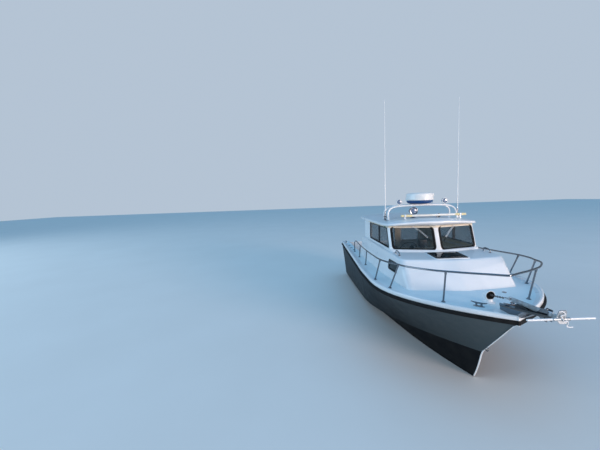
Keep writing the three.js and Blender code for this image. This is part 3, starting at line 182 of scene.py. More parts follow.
def moulded(name, colour, worn, rough, scale=2.0, coat=0.0, metal=0.0, grain=260.0, bump=0.05, ior=1.5):
    """A painted or moulded surface: two tones, uneven gloss and a fine grain."""
    material, nt, shader = tree(name)
    tones = two_tones(nt, noise_of(nt, scale, 6), 0.35, 0.7, colour, worn)
    gloss = spread(nt, noise_of(nt, scale * 4, 5), 0.3, 0.75, *rough)
    finish_with(nt, shader, tones, gloss, (noise_of(nt, grain, 2), bump, 0.001), Metallic=metal,
                Coat_Weight=coat, Coat_Roughness=0.12, IOR=ior)
    return material


def nonskid(name, colour, worn):
    """Moulded deck with a pebbled tread."""
    material, nt, shader = tree(name)
    tones = two_tones(nt, noise_of(nt, 1.6, 6), 0.35, 0.7, colour, worn)
    pebbles = texture_of(nt, "ShaderNodeTexVoronoi", 330).outputs["Distance"]
    finish_with(nt, shader, tones, None, (pebbles, 0.6, 0.0012), Roughness=0.55)
    return material


def brushed(name, colour, rough):
    """Polished steel with fine drawn lines and a little tea staining."""
    material, nt, shader = tree(name)
    tones = two_tones(nt, noise_of(nt, 9, 6), 0.62, 0.8, colour, (0.42, 0.36, 0.3), 0.6)
    lines = spread(nt, noise_of(nt, 180, 3, (1, 1, 6)), 0.3, 0.7, *rough)
    finish_with(nt, shader, tones, lines, Metallic=1.0)
    return material


def pane(name, colour, alpha, ior):
    """Tinted glass with faint salt film."""
    material, nt, shader = tree(name)
    film = two_tones(nt, noise_of(nt, 7, 6), 0.45, 0.75, colour, (0.10, 0.15, 0.18), 0.35)
    gloss = spread(nt, noise_of(nt, 12, 4), 0.4, 0.8, 0.02, 0.09)
    finish_with(nt, shader, film, gloss, IOR=ior, Alpha=alpha)
    return material


def by_height(name, colour, painted_lit_bow, stained, low, high, rough):
    """Topsides: a near-black aft tone that is painted shade, turning lighter towards the bow as painted
    light, and stained from the water up, from low to high.
    """
    material, nt, shader = tree(name)
    coords = nt.nodes.new("ShaderNodeTexCoord")
    split = nt.nodes.new("ShaderNodeSeparateXYZ")
    nt.links.new(coords.outputs["Object"], split.inputs["Vector"])
    height = nt.nodes.new("ShaderNodeMath")
    height.operation = "ADD"
    nt.links.new(split.outputs["Z"], height.inputs[0])
    nt.links.new(spread(nt, noise_of(nt, 3, 6, (1, 1, 0.15)), 0.3, 0.7, -0.12, 0.12), height.inputs[1])
    tones = two_tones(nt, noise_of(nt, 1.3, 6), 0.35, 0.7, colour, tuple(c * 0.86 for c in colour))
    # Painted light and shade: lighter towards the bow, where light falls, and darker aft, where shade falls
    tones = two_tones(nt, split.outputs["X"], 1.6, 3.6, tones, painted_lit_bow)
    tones = blend_colour(nt, spread(nt, height.outputs["Value"], low, high, 1, 0), tones, stained)
    gloss = spread(nt, noise_of(nt, 6, 5), 0.3, 0.75, *rough)
    finish_with(nt, shader, tones, gloss, (noise_of(nt, 5, 3), 0.04, 0.01), IOR=1.3)
    return material


M = {
    "gelcoat": moulded("gelcoat_white", (0.80, 0.82, 0.83), (0.74, 0.77, 0.79), (0.27, 0.33), coat=0.3,
                       bump=0.012),
    "nonskid": nonskid("deck_tread", (0.78, 0.85, 0.86), (0.71, 0.78, 0.80)),
    # Topsides: the grey paint is darkened aft as painted shade, and the lighter bow tone is painted light
    "topsides": by_height("topsides_grey", (0.012, 0.014, 0.016), (0.070, 0.090, 0.096),
                          (0.028, 0.028, 0.026), 0.02, 0.4, (0.46, 0.62)),
    "bottom": moulded("bottom_paint", (0.005, 0.006, 0.008), (0.014, 0.014, 0.014), (0.7, 0.9), 5, bump=0.3,
                      ior=1.25),
    "rubber": moulded("black_rubber", (0.005, 0.005, 0.006), (0.014, 0.014, 0.014), (0.6, 0.8), 8, bump=0.15,
                      ior=1.25),
    # Near-black for the inside of the chain pipe's mouth: painted shade in the hole
    "throat": moulded("pipe_mouth_painted_shade", (0.002, 0.002, 0.002), (0.005, 0.005, 0.005), (0.8, 0.95), 8, ior=1.2),
    "steel": brushed("polished_steel", (0.24, 0.25, 0.27), (0.08, 0.2)),
    "arch": moulded("white_powder_coat", (0.78, 0.80, 0.81), (0.7, 0.73, 0.75), (0.25, 0.4), 6, 0.3),
    "radar": moulded("radar_white", (0.82, 0.83, 0.82), (0.76, 0.77, 0.76), (0.25, 0.38), 5, 0.2),
    "blue": moulded("radar_blue", (0.003, 0.045, 0.17), (0.008, 0.06, 0.2), (0.3, 0.45), 5),
    "glass": pane("tinted_glass", (0.006, 0.016, 0.022), 0.33, 1.8),
    "smoked": pane("smoked_acrylic", (0.004, 0.005, 0.006), 0.93, 1.4),
    "black": moulded("black_plastic", (0.012, 0.012, 0.013), (0.025, 0.025, 0.027), (0.35, 0.55), 12,
                     bump=0.12),
    "whip": moulded("white_glass_fibre", (0.84, 0.84, 0.84), (0.74, 0.74, 0.73), (0.25, 0.4), 30, 0.2),
    "pole_white": moulded("pole_white", (0.80, 0.79, 0.74), (0.70, 0.69, 0.62), (0.3, 0.45), 12),
    "pole_cream": moulded("pole_cream", (0.80, 0.68, 0.36), (0.72, 0.62, 0.38), (0.35, 0.5), 12),
    "galvanised": moulded("galvanised", (0.44, 0.49, 0.52), (0.28, 0.29, 0.30), (0.35, 0.6), 14, 0, 0.6, 90,
                          0.2),
    "zinc": moulded("bright_zinc", (0.62, 0.66, 0.70), (0.46, 0.48, 0.50), (0.3, 0.5), 20, 0, 0.2, 90, 0.2),
    # Dark iron for the flukes and chain: the brown tone is rust, and the darkness is painted shade on
    # galvanised iron
    "dark_iron": moulded("weathered_and_shaded_iron", (0.09, 0.095, 0.10), (0.16, 0.13, 0.11), (0.45, 0.7), 16, 0, 0.6,
                         90, 0.3),
    "vinyl": moulded("seat_vinyl", (0.66, 0.66, 0.64), (0.58, 0.58, 0.56), (0.4, 0.55), 9, 0, 0, 420, 0.35),
    "engine": moulded("engine_paint", (0.10, 0.11, 0.12), (0.08, 0.09, 0.10), (0.2, 0.3), 4, 0.7, 0.4),
    "silver": moulded("engine_silver", (0.38, 0.40, 0.42), (0.32, 0.34, 0.36), (0.22, 0.34), 6, 0.5, 0.5),
    "liner": moulded("cabin_liner", (0.80, 0.74, 0.60), (0.72, 0.66, 0.53), (0.5, 0.7), 3, 0, 0, 150, 0.25),
    "screen": moulded("dark_screen", (0.02, 0.12, 0.26), (0.012, 0.07, 0.18), (0.08, 0.14), 3),
    "lens": moulded("lamp_lens", (0.14, 0.21, 0.32), (0.08, 0.13, 0.22), (0.12, 0.2), 25, 0.2),
    "lens_red": moulded("red_lens", (0.35, 0.01, 0.01), (0.28, 0.008, 0.008), (0.06, 0.12), 20, 0.5),
    "lens_green": moulded("green_lens", (0.01, 0.22, 0.06), (0.008, 0.18, 0.05), (0.06, 0.12), 20, 0.5),
    "lens_clear": moulded("frosted_lens", (0.75, 0.77, 0.78), (0.68, 0.7, 0.71), (0.1, 0.2), 20, 0.5),
    "trim": moulded("cream_trim", (0.70, 0.62, 0.50), (0.62, 0.56, 0.46), (0.4, 0.55), 6),
}

# Material slots, and the materials here that each one stands for
SLOTS = {
    "gelcoat": "gelcoat nonskid arch radar", "topsides": "topsides bottom", "rubber": "rubber throat",
    "stainless": "steel", "radar_blue": "blue", "glass": "glass smoked lens lens_red lens_green lens_clear",
    "black": "black screen", "whip": "whip", "cream": "pole_white pole_cream",
    "galvanised": "galvanised zinc dark_iron", "vinyl": "vinyl", "engine": "engine silver",
    "interior": "liner trim",
}
SLOT_OF = {key: slot for slot, keys in SLOTS.items() for key in keys.split()}


# Mesh tools. A shape is a pair of verts and faces.
def joined(shapes):
    verts, faces = [], []
    for more_verts, more_faces in shapes:
        faces += [tuple(i + len(verts) for i in face) for face in more_faces]
        verts += more_verts
    return verts, faces


def new_object(name, shape, materials):
    mesh = bpy.data.meshes.new(name)
    mesh.from_pydata([tuple(v) for v in shape[0]], [], shape[1])
    mesh.validate()
    for material in materials:
        mesh.materials.append(material)
    obj = bpy.data.objects.new(name, mesh)
    bpy.context.scene.collection.objects.link(obj)
    return obj


def edit_mesh(obj, change):
    bm = bmesh.new()
    bm.from_mesh(obj.data)
    change(bm)
    bm.to_mesh(obj.data)
    bm.free()


def weld(bm):
    """Joins points that coincide, and turns every face outwards."""
    bmesh.ops.remove_doubles(bm, verts=bm.verts, dist=1e-6)
    bmesh.ops.recalc_face_normals(bm, faces=bm.faces)


def shade(obj, angle):
    """Smooth shading that stops at edges sharper than the angle."""
    def change(bm):
        for face in bm.faces:
            face.smooth = True
        for edge in bm.edges:
            edge.smooth = not (edge.is_manifold and edge.calc_face_angle(0) > math.radians(angle))
    edit_mesh(obj, change)


def make(name, shape, material, body="boat", stands_for="", slot=None, angle=35, more=()):
    """A piece from a shape or a list of shapes.

    stands_for names CAD nodes, with spaces between them, and more lists further materials.
    """
    shape = joined(shape) if isinstance(shape, list) else shape
    piece = new_object(name, shape, [M[key] for key in (material, *more)])
    edit_mesh(piece, weld)
    shade(piece, angle)
    if stands_for:
        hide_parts(*stands_for.split())
    slot or SLOT_OF[material]
    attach(piece, body)
    return piece


def modify(obj, kind, **settings):
    modifier = obj.modifiers.new(kind.lower(), kind)
    for key, value in settings.items():
        setattr(modifier, key, value)


def bevel(obj, width, segments, limit):
    modify(obj, "BEVEL", width=width, segments=segments, limit_method="ANGLE",
           angle_limit=math.radians(limit))


def settle(piece, angle):
    """Applies the piece's modifiers, so that the piece is its final mesh."""
    depsgraph = bpy.context.evaluated_depsgraph_get()
    depsgraph.update()
    final = bpy.data.meshes.new_from_object(piece.evaluated_get(depsgraph))
    piece.modifiers.clear()
    piece.data = final
    shade(piece, angle)


def rounded(piece, width, segments=3):
    bevel(piece, width, segments, 30)
    settle(piece, 35)


def tool(shape, material="gelcoat"):
    """A cutter, which is deleted after use. It leaves its material on what it cuts."""
    cutter = new_object("tool", shape, [M[material]])
    edit_mesh(cutter, weld)
    return cutter


def cut(piece, cutters):
    for cutter in cutters:
        modify(piece, "BOOLEAN", operation="DIFFERENCE", solver="EXACT", material_mode="TRANSFER",
               object=cutter)
    settle(piece, 30)
    for cutter in cutters:
        bpy.data.objects.remove(cutter)


def paint_faces(mesh, index, wanted):
    """Gives a material index to the faces that pass the test."""
    for face in mesh.polygons:
        if wanted(face):
            face.material_index = index


def loft(rings, ends="capped"):
    """A shape through closed rings of equal length. Its ends are capped, or joined to each other."""
    count = len(rings[0])
    verts = [p for ring in rings for p in ring]
    faces = []
    for r in range(len(rings) if ends == "joined" else len(rings) - 1):
        a, b = r * count, (r + 1) % len(rings) * count
        faces += [(a + i, a + (i + 1) % count, b + (i + 1) % count, b + i) for i in range(count)]
    if ends == "capped":
        faces += [tuple(range(count)), tuple(range(len(verts) - count, len(verts)))]
    return verts, faces


def smooth_line(points, steps):
    """Points along a centripetal spline through the given ones, steps to each span."""
    pts = [Vector(p) for p in points]
    pts = [pts[0] * 2 - pts[1]] + pts + [pts[-1] * 2 - pts[-2]]
    out = []
    for span in zip(pts, pts[1:], pts[2:], pts[3:]):
        knots = [0.0]
        for a, b in zip(span, span[1:]):
            knots.append(knots[-1] + max(1e-6, (b - a).length ** 0.5))
        for k in range(steps):
            now = lerp(knots[1], knots[2], k / steps)
            between = lambda a, b, i, j: lerp(a, b, (now - knots[i]) / (knots[j] - knots[i]))
            first = [between(span[i], span[i + 1], i, i + 1) for i in range(3)]
            second = [between(first[i], first[i + 1], i, i + 2) for i in range(2)]
            out.append(between(*second, 1, 2))
    return out + [pts[-2]]


def circle(radius, sides):
    step = 2 * math.pi / sides
    return [(radius * math.cos(step * i), radius * math.sin(step * i)) for i in range(sides)]


def squircle(power, sides):
    """Points round a square with soft corners. Both columns run from -1 to 1."""
    soft = lambda v: math.copysign(abs(v) ** power, v)
    return [(soft(a), soft(b)) for a, b in circle(1.0, sides)]


def two_sided(half):
    """A section from its right half, listed from the bottom up."""
    return [(-a, b) for a, b in half] + [(a, b) for a, b in reversed(half)]


def across(axis):
    """Two directions at right angles to an axis and to each other."""
    side = axis.cross(UP if abs(axis.z) < 0.9 else PORT).normalized()
    return side, axis.cross(side)


def sweep(line, section, closed=False, up=None):
    """A section of (out, up) pairs carried along a line. up fixes the section's upright."""
    rings = []
    side = None
    for i, p in enumerate(line):
        before = line[i - 1] if i > 0 or closed else p
        after = line[(i + 1) % len(line)] if i + 1 < len(line) or closed else p
        along = (after - before).normalized()
        if up is not None:
            side = along.cross(up).normalized()
        elif side is None:
            side = across(along)[0]
        else:
            side = (side - along * side.dot(along)).normalized()
        rise = side.cross(along).normalized()
        rings.append([p + side * a + rise * b for a, b in section])
    return loft(rings, "joined" if closed else "capped")


def tube(points, radius, sides=14, steps=8):
    return sweep(smooth_line(points, steps), circle(radius, sides))


def lathe(profile, origin, axis, sides=40, ends="capped"):
    """A shape turned about an axis. Columns of the profile: radius, distance along the axis."""
    axis = axis.normalized()
    side, rise = across(axis)
    rings = []
    for radius, height in profile:
        r = max(radius, 1e-5)
        rings.append([origin + axis * height + (side * c + rise * s) * r for c, s in circle(1.0, sides)])
    return loft(rings, ends)


def rod(a, b, radius, end_radius=None, sides=16):
    end = radius if end_radius is None else end_radius
    return lathe([(radius, 0), (end, (b - a).length)], a, b - a, sides)


def rounded_corner(a, p, b, radius, steps, share):
    """Points that round the corner p between a and b. They use no more than a share of either side."""
    reach = min(radius, (a - p).length * share, (b - p).length * share)
    start, end = (p + (q - p).normalized() * reach for q in (a, b))
    return [start.lerp(p, k / steps).lerp(p.lerp(end, k / steps), k / steps) for k in range(steps + 1)]


def fillet(profile, radius, steps=4):
    """An open profile whose inner corners are rounded."""
    pts = [Vector(p) for p in profile]
    out = [pts[0]]
    for corner in zip(pts, pts[1:], pts[2:]):
        out += rounded_corner(*corner, radius, steps, 0.45)
    return out + [pts[-1]]


def fillet_loop(corners, radius, steps=5):
    """A closed outline whose corners are rounded."""
    pts = [Vector(p) for p in corners]
    out = []
    for i, p in enumerate(pts):
        out += rounded_corner(pts[i - 1], p, pts[(i + 1) % len(pts)], radius, steps, 0.48)
    return out


def turned(profile, soft, spot, axis=UP, sides=28, steps=4):
    """A turned shape whose profile has its inner corners rounded."""
    return lathe(fillet(profile, soft, steps), spot, axis, sides)


def slab(outline, thick, origin, right, up):
    """An outline in a plane, given as (right, up) pairs, thickened along the plane's normal."""
    right = right.normalized()
    normal = right.cross(up).normalized()
    rise = normal.cross(right)
    flat = [origin + right * a + rise * b for a, b in outline]
    return loft([flat, [p + normal * thick for p in flat]])


def box(d0, d1, y0, y1, z0, z1):
    return loft([[at(d, y, z) for y, z in ((y0, z0), (y1, z0), (y1, z1), (y0, z1))] for d in (d0, d1)])


def both_sides(build):
    for side, sign in (("port", 1), ("stbd", -1)):
        build(side, sign)


# Hull
def chine(t):
    d = lerp(STEM_CHINE_D, HULL_LENGTH, t)
    width = 1 - (1 - unit((d - STEM_CHINE_D) / 3.44)) ** 1.9
    taper = 1 - 0.05 * unit((d - 4.2) / 3.7)
    return Vector((d, 1.2 * width * taper, 0.08 + 0.5 * (1 - t) ** 1.3))


def keel(t):
    d = STEM_CHINE_D + (HULL_LENGTH - STEM_CHINE_D) * t ** 1.12
    stem = STEM_HEAD_Z - 0.874 + KEEL_DEPTH
    return Vector((d, 0, -KEEL_DEPTH + stem * math.exp(-(d - STEM_CHINE_D) / 0.28)))


def sheer(t):
    d = HULL_LENGTH * t
    return Vector((d, max(STEM_HALF, half_beam(d)), sheer_z(d)))


HULL_STATIONS = [(i / 64) ** 1.75 for i in range(65)]
SIDE_SHARES = [0.015, 0.08, 0.18, 0.3, 0.42, 0.54, 0.66, 0.77, 0.87, 0.94, 1.0]


def hull_ring(t):
    k, c, s = keel(t), chine(t), sheer(t)
    chine_y = max(STEM_HALF * 0.9, c.y)
    flat = min(0.07, chine_y * 0.3)
    inner = Vector((c.x, chine_y - flat, c.z - 0.022 * unit(chine_y / 0.3)))
    edge = Vector((c.x, chine_y, c.z))
    rows = [k.lerp(inner, u) for u in (0.25, 0.5, 0.75, 1.0)] + [edge]
    for share in SIDE_SHARES:
        row = edge.lerp(s, share)
        row.y = chine_y + (s.y - chine_y) * share ** 1.22
        rows.append(row)
    half = [at(r.x, r.y, r.z) for r in rows]
    other = [at(r.x, -r.y, r.z) for r in reversed(rows)]
    return [at(k.x, 0, k.z - (0.02 if t == 0 else 0))] + half + [at(s.x, 0, s.z)] + other


def prism(rows, z0, z1):
    """A cutter from rows of (d, half width), mirrored. Its floor gets the deck tread."""
    plan = rows + [(d, -y) for d, y in reversed(rows)]
    cutter = tool(loft([[at(d, y, z) for d, y in plan] for z in (z0, z1)]))
    cutter.data.materials.append(M["nonskid"])
    paint_faces(cutter.data, 1, lambda face: face.normal.z < -0.9)
    return cutter


# The cockpit's two ends, and its half width at each
COCKPIT = Sizes(fore_d=HOUSE_AFT_D + 0.001, aft_d=7.72, fore_half=1.09, aft_half=1.01)
# What is cut out of hull and deck. Columns: rows of (d, half width), the floor's height.
WELLS = [
    ([(1.68, 0.58), (2.3, 0.86), (2.751, 0.93)], BERTH_Z),
    ([(2.75, 0.98), (BULKHEAD_D, 0.98)], CABIN_SOLE_Z),
    ([(BULKHEAD_D - 0.001, 0.98), (HOUSE_AFT_D + 0.002, 0.98)], COCKPIT_SOLE_Z),
    ([(COCKPIT.fore_d, COCKPIT.fore_half), (COCKPIT.aft_d, COCKPIT.aft_half)], COCKPIT_SOLE_Z),
]


def wells():
    return [prism(rows, z, 3.0) for rows, z in WELLS]


def build_hull():
    piece = make("hull_shell", loft([hull_ring(t) for t in HULL_STATIONS]), "topsides", stands_for="hull",
                 more=["bottom", "gelcoat", "nonskid"])

    def painted_dark(face):
        d, z = MID - face.center.x, face.center.z
        share = unit((d - STEM_CHINE_D) / (HULL_LENGTH - STEM_CHINE_D))
        under_chine = z < chine(share).z - 0.004 or (d < STEM_CHINE_D + 0.02 and z < 0.575)
        return under_chine or face.normal.z < -0.75
    paint_faces(piece.data, 1, painted_dark)
    fish_box = [prism([(6.3 - lip, 0.43 + lip), (7.3 + lip, 0.43 + lip)], low, 0.41) for lip, low in
                ((0, 0.1), (0.03, 0.37))]
    cut(piece, wells() + fish_box)


def deck_ring(t):
    """The deck's section, with its rounded toe rail."""
    s = sheer(t)
    low = s.z + GAP
    top = low + 0.045
    high = top + 0.032
    scale = min(1, s.y * 0.5 / 0.06)
    rows = [
        (0.004, low), (0.0, low + 0.006), (0.0, high - 0.022), (0.004, high - 0.010), (0.012, high - 0.003),
        (0.020, high), (0.046, high), (0.054, high - 0.004), (0.059, high - 0.012), (0.064, top + 0.006),
        (0.070, top + 0.001), (0.078, top),
    ]
    half = [(s.y - inward * scale, z) for inward, z in rows]
    half.append((max(s.y - 0.078 * scale, 0.0) * 0.995 - 0.055 * scale * min(1, s.y / 0.3), top))
    port = [at(s.x, max(y, 0.0008), z) for y, z in half]
    other = [at(s.x, -max(y, 0.0008), z) for y, z in reversed(half)]
    return port + [at(s.x, 0, top)] + other + [at(s.x, 0, low)]


def build_deck():
    piece = make("deck_moulding", loft([deck_ring(t) for t in HULL_STATIONS]), "gelcoat", stands_for="deck",
                 more=["nonskid"])

    def walked_on(face):
        d, y = MID - face.center.x, abs(face.center.y)
        return face.normal.z > 0.98 and d > 0.35 and 0 < y < half_beam(d) - 0.13
    paint_faces(piece.data, 1, walked_on)
    cut(piece, wells())


def level_sides(line):
    """The level direction across the line at each of its points."""
    last = len(line) - 1
    return [(line[min(i + 1, last)] - line[max(i - 1, 0)]).cross(UP).normalized() for i in range(last + 1)]


def build_rub_rail():
    drop, gap = 0.025, 0.002
    rows = [sheer(t) for t in HULL_STATIONS[:-1]]
    line = [at(r.x, r.y, r.z - drop) for r in reversed(rows)] + [at(r.x, -r.y, r.z - drop) for r in rows]
    line = [p - side * gap for p, side in zip(line, level_sides(line))]
    section = [(0.0, -0.031), (-0.016, -0.033), (-0.027, -0.024), (-0.033, -0.008), (-0.033, 0.008),
               (-0.027, 0.024), (-0.016, 0.033), (0.0, 0.031)]
    rings = []
    for p, side in zip(line, level_sides(line)):
        thin = lerp(0.1, 1.0, unit((MID - p.x) / 0.35))
        rings.append([p + side * (a * thin) + UP * b for a, b in section])
    make("rub_rail_strip", loft(rings), "rubber", stands_for="rub_rail", angle=50)


def build_stem():
    """A pale guard strip down the stem, and the eye for the trailer's hook."""
    rows = [(-0.002, STEM_HEAD_Z - 0.06)]
    rows += [(lerp(0.0, STEM_CHINE_D, s) - 0.002, lerp(STEM_HEAD_Z, 0.58, s)) for s in (0.15, 0.4, 0.7, 0.95)]
    rows += [(keel(t).x - 0.003, keel(t).z) for t in (0.004, 0.01, 0.018, 0.028, 0.04)]
    line = smooth_line([at(d, 0, z) for d, z in rows], 4)
    section = two_sided([(0.013, -0.006), (0.010, 0.002), (0.004, 0.006)])
    make("stem_guard", sweep(line, section, up=Vector((1, 0, 0.3)).normalized()), "arch")
    eye = [(0.68, 0.73), (0.625, 0.73), (0.61, 0.70), (0.625, 0.67), (0.71, 0.67)]
    make("bow_eye", tube([at(d, 0, z) for d, z in eye], 0.008, 12, 6), "steel")


# Trunk cabin
TRUNK = Sizes(front_base=1.19, front_top=1.56, base_half=1.13, top_half=1.055, radius=0.16, bow=0.12,
              taper_d=2.7, base_taper=0.1, top_taper=0.02, edge=0.045)


def trunk_half(share, d):
    """Half width of the trunk at a height share. It narrows towards the bow."""
    corner = lerp(TRUNK.front_base, TRUNK.front_top, share) + TRUNK.bow + TRUNK.radius
    taper = lerp(TRUNK.base_taper, TRUNK.top_taper, share)
    narrow = taper * unit((TRUNK.taper_d - d) / (TRUNK.taper_d - corner))
    return lerp(TRUNK.base_half, TRUNK.top_half, share) - narrow


def trunk_plan(share, inset, aft):
    """The trunk's outline at a height share. Its front is a shallow V. Columns: d, y."""
    front = lerp(TRUNK.front_base, TRUNK.front_top, share) + inset
    r = TRUNK.radius
    corner = front + TRUNK.bow + r
    side = [(d, trunk_half(share, d) - inset) for d in
            (aft, 4.6, 4.2, 3.8, 3.4, 3.0, 2.7, 2.4, TRUNK_BREAK_D, corner + 0.06)]
    half = trunk_half(share, 0.0) - inset
    for step in range(13):
        a = math.radians(step * 80 / 12)
        side.append((corner - r * math.sin(a), half - r * (1 - math.cos(a))))
    last_d, last_y = side[-1]
    side += [(lerp(front, last_d, s), last_y * s) for s in (0.75, 0.5, 0.25, 0.05)]
    return side + [(front + 0.002, 0)] + [(d, -y) for d, y in reversed(side)]


def trunk_shape(levels, aft):
    """Columns of the levels: height share, inset, squeeze towards the middle, height at a d."""
    return loft([[at(d, y * squeeze, z(d)) for d, y in trunk_plan(share, inset, aft)]
                 for share, inset, squeeze, z in levels])


def build_trunk():
    low, top = deck_z, trunk_top_z
    outside = [
        (0.0, 0.0, 1, lambda d: low(d) + GAP), (0.03, 0.0, 1, lambda d: low(d) + 0.02),
        (0.45, 0.0, 1, lambda d: lerp(low(d), top(d) - TRUNK.edge, 0.5)),
        (0.93, 0.0, 1, lambda d: top(d) - TRUNK.edge), (0.98, 0.006, 1, lambda d: top(d) - 0.022),
        (1.0, 0.016, 1, lambda d: top(d) - 0.008), (1.0, 0.034, 1, lambda d: top(d) - 0.001),
        (1.0, 0.06, 1, top), (1.0, 0.06, 0.5, top), (1.0, 0.06, 0.04, top),
    ]
    ceiling = lambda d: top(d) - WALL
    inside = [
        (0.0, WALL, 1, lambda d: low(d) - 0.03), (0.9, WALL, 1, lambda d: ceiling(d) - 0.02),
        (1.0, WALL + 0.025, 1, ceiling), (1.0, WALL + 0.025, 0.04, ceiling),
    ]
    piece = make("trunk_moulding", trunk_shape(outside, 4.95), "gelcoat", stands_for="trunk_cabin",
                 more=["liner"])
    cutters = [tool(trunk_shape(inside, 4.99), "liner"), tool(box(2.64, 5.1, -0.9, 0.9, 1.9, 2.1))]
    outline = portlight_outline(0.0)
    cutters += [tool(slab(outline, -0.2, Vector((0, y, 0)), FORWARD, UP)) for y in (1.0, -1.2)]
    cutters.append(tool(hatch_slab(HATCH_LONG - 0.034, HATCH_HALF - 0.034, 0.04, -0.12, 0.06)))
    cut(piece, cutters)


def rectangle(x0, x1, z0, z1, radius, steps=5):
    return fillet_loop([(x0, z0), (x1, z0), (x1, z1), (x0, z1)], radius, steps)


def portlight_outline(inset):
    return rectangle(MID - 2.31 + inset, MID - 1.87 - inset, 1.665 + inset, 1.855 - inset, 0.045)


def side_wall_y(d, z, inset=0.0):
    """How far out the trunk's side wall lies."""
    low, high = deck_z(d) + 0.02, trunk_top_z(d) - TRUNK.edge
    middle = (low + high) / 2
    below = lerp(0.03, 0.45, (z - low) / (middle - low))
    above = lerp(0.45, 0.93, (z - middle) / (high - middle))
    return trunk_half(below if z < middle else above, d) - inset


def build_portlights(side, sign):
    place = lambda p, inset: Vector((p[0], sign * side_wall_y(MID - p[0], p[1], inset), p[1]))
    rings = [[place(p, inset) for p in portlight_outline(GAP)] for inset in (0.022, 0.01)]
    make(f"portlight_pane_{side}", loft(rings), "smoked", stands_for=f"trunk_portlight_{side}")
    line = [place(p, -0.001) for p in portlight_outline(-0.004)]
    section = two_sided([(0.012, -0.003), (0.012, 0.003), (0.006, 0.006)])
    outward = Vector((0, sign, 0.12)).normalized()
    make(f"portlight_gasket_{side}", sweep(line, section, True, outward), "black")


# Roof hatch over the berths
HATCH_SLOPE = Vector((1, 0, -TRUNK_SLOPE)).normalized()
HATCH_UP = Vector((TRUNK_SLOPE, 0, 1)).normalized()
HATCH_CENTRE = at(1.925, 0, trunk_top_z(1.925))
HATCH_LONG = 0.225
HATCH_HALF = 0.32


def hatch_slab(half_long, half_wide, radius, low, high):
    outline = rectangle(-half_long, half_long, -half_wide, half_wide, radius)
    return slab(outline, high - low, HATCH_CENTRE + HATCH_UP * low, HATCH_SLOPE, PORT)


def build_hatch():
    long, half = HATCH_LONG, HATCH_HALF
    coaming = make("hatch_coaming", hatch_slab(long + 0.03, half + 0.03, 0.075, -0.02, 0.011), "gelcoat")
    cut(coaming, [tool(hatch_slab(long + 0.0125, half + 0.004, 0.062, -0.05, 0.05))])
    rounded(coaming, 0.005)
    rim = make("hatch_rim", hatch_slab(long, half, 0.06, GAP, 0.016), "black", "hatch",
               stands_for="hatch_lid", more=["smoked"])
    cut(rim, [tool(hatch_slab(long - 0.04, half - 0.04, 0.04, 0.006, 0.04), "black")])
    rounded(rim, 0.004, 2)
    lens = hatch_slab(long - 0.0405, half - 0.0405, 0.04, 0.0062, 0.0195)
    rounded(make("hatch_lens", lens, "smoked", "hatch"), 0.004)
    pivot = HATCH_CENTRE + HATCH_SLOPE * (long + 0.005) + HATCH_UP * 0.0085
    barrels = [rod(pivot + PORT * (y - 0.035), pivot + PORT * (y + 0.035), 0.007) for y in (-0.18, 0.18)]
    make("hatch_hinges", barrels, "steel", "hatch")


# Pilothouse
SHIELD = Sizes(centre_d=2.21, edge_d=2.465, half=0.928, rake=0.36)
SHIELD_SWEEP = (SHIELD.edge_d - SHIELD.centre_d) / SHIELD.half
SHIELD_UP = Vector((-SHIELD.rake, 0, 1)).normalized()
SHIELD_HEIGHT = (HOUSE_TOP_Z - TRUNK_TOP_Z - 2 * GAP) / SHIELD_UP.z
SHIELD_LENGTH = math.hypot(SHIELD.edge_d - SHIELD.centre_d, SHIELD.half)
HOUSE_WALL = 0.042


def shield_point(sign, s, up, out=0.0):
    """A place on a front pane's plane: along it from the middle, up it, and out of it."""
    right = Vector((-SHIELD_SWEEP, sign, 0)).normalized()
    normal = right.cross(SHIELD_UP).normalized() * sign
    return at(SHIELD.centre_d, 0, TRUNK_TOP_Z + GAP) + right * s + SHIELD_UP * up + normal * out


def house_plan(z, inset):
    """The house's outline at a height, inset from its outer face."""
    back = (z - TRUNK_TOP_Z) * SHIELD.rake
    centre, edge = SHIELD.centre_d + back + inset, SHIELD.edge_d + back + inset
    half = HOUSE_OUTER_Y - inset
    corner_d = edge + (half - SHIELD.half) * SHIELD_SWEEP
    r = 0.06 - inset * 0.6
    along_pane = (centre + SHIELD_SWEEP * half * 0.12, half * 0.12)
    arc = fillet([(corner_d + 0.4, half), (corner_d, half), along_pane], r, 8)
    side = [(d, half) for d in (HOUSE_AFT_D, 4.5, 4.0, 3.5)] + [tuple(p) for p in arc[:-1]]
    tip = fillet([side[-1], (centre, 0), (side[-1][0], -side[-1][1])], 0.09, 6)[1:-1]
    return side + [tuple(p) for p in tip] + [(d, -y) for d, y in reversed(side)]


def pane_outline(grow):
    return rectangle(0.078 - grow, SHIELD_LENGTH - 0.023 + grow, 0.048 - grow, SHIELD_HEIGHT - 0.019 + grow,
                     0.09 + grow * 0.5, 7)


SIDE_WINDOW = Sizes(front=2.592, back=4.3, low=2.07, high=2.505)


def side_outline(grow):
    w = SIDE_WINDOW
    back, front = MID - w.back - grow, MID - w.front + grow
    lean = SHIELD.rake * (w.high - w.low)
    low, high = w.low - grow, w.high + grow
    return fillet_loop([(back, low), (front, low), (front - lean, high), (back, high)], 0.05, 5)


def pane_shapes(sign, grow, front_depths, side_depths):
    """A block through a front window's opening, and one through the side window behind it."""
    front = [[shield_point(sign, s, u, out) for s, u in pane_outline(grow)] for out in front_depths]
    side = [[Vector((x, sign * (HOUSE_OUTER_Y + out), z)) for x, z in side_outline(grow)]
            for out in side_depths]
    return loft(front), loft(side)


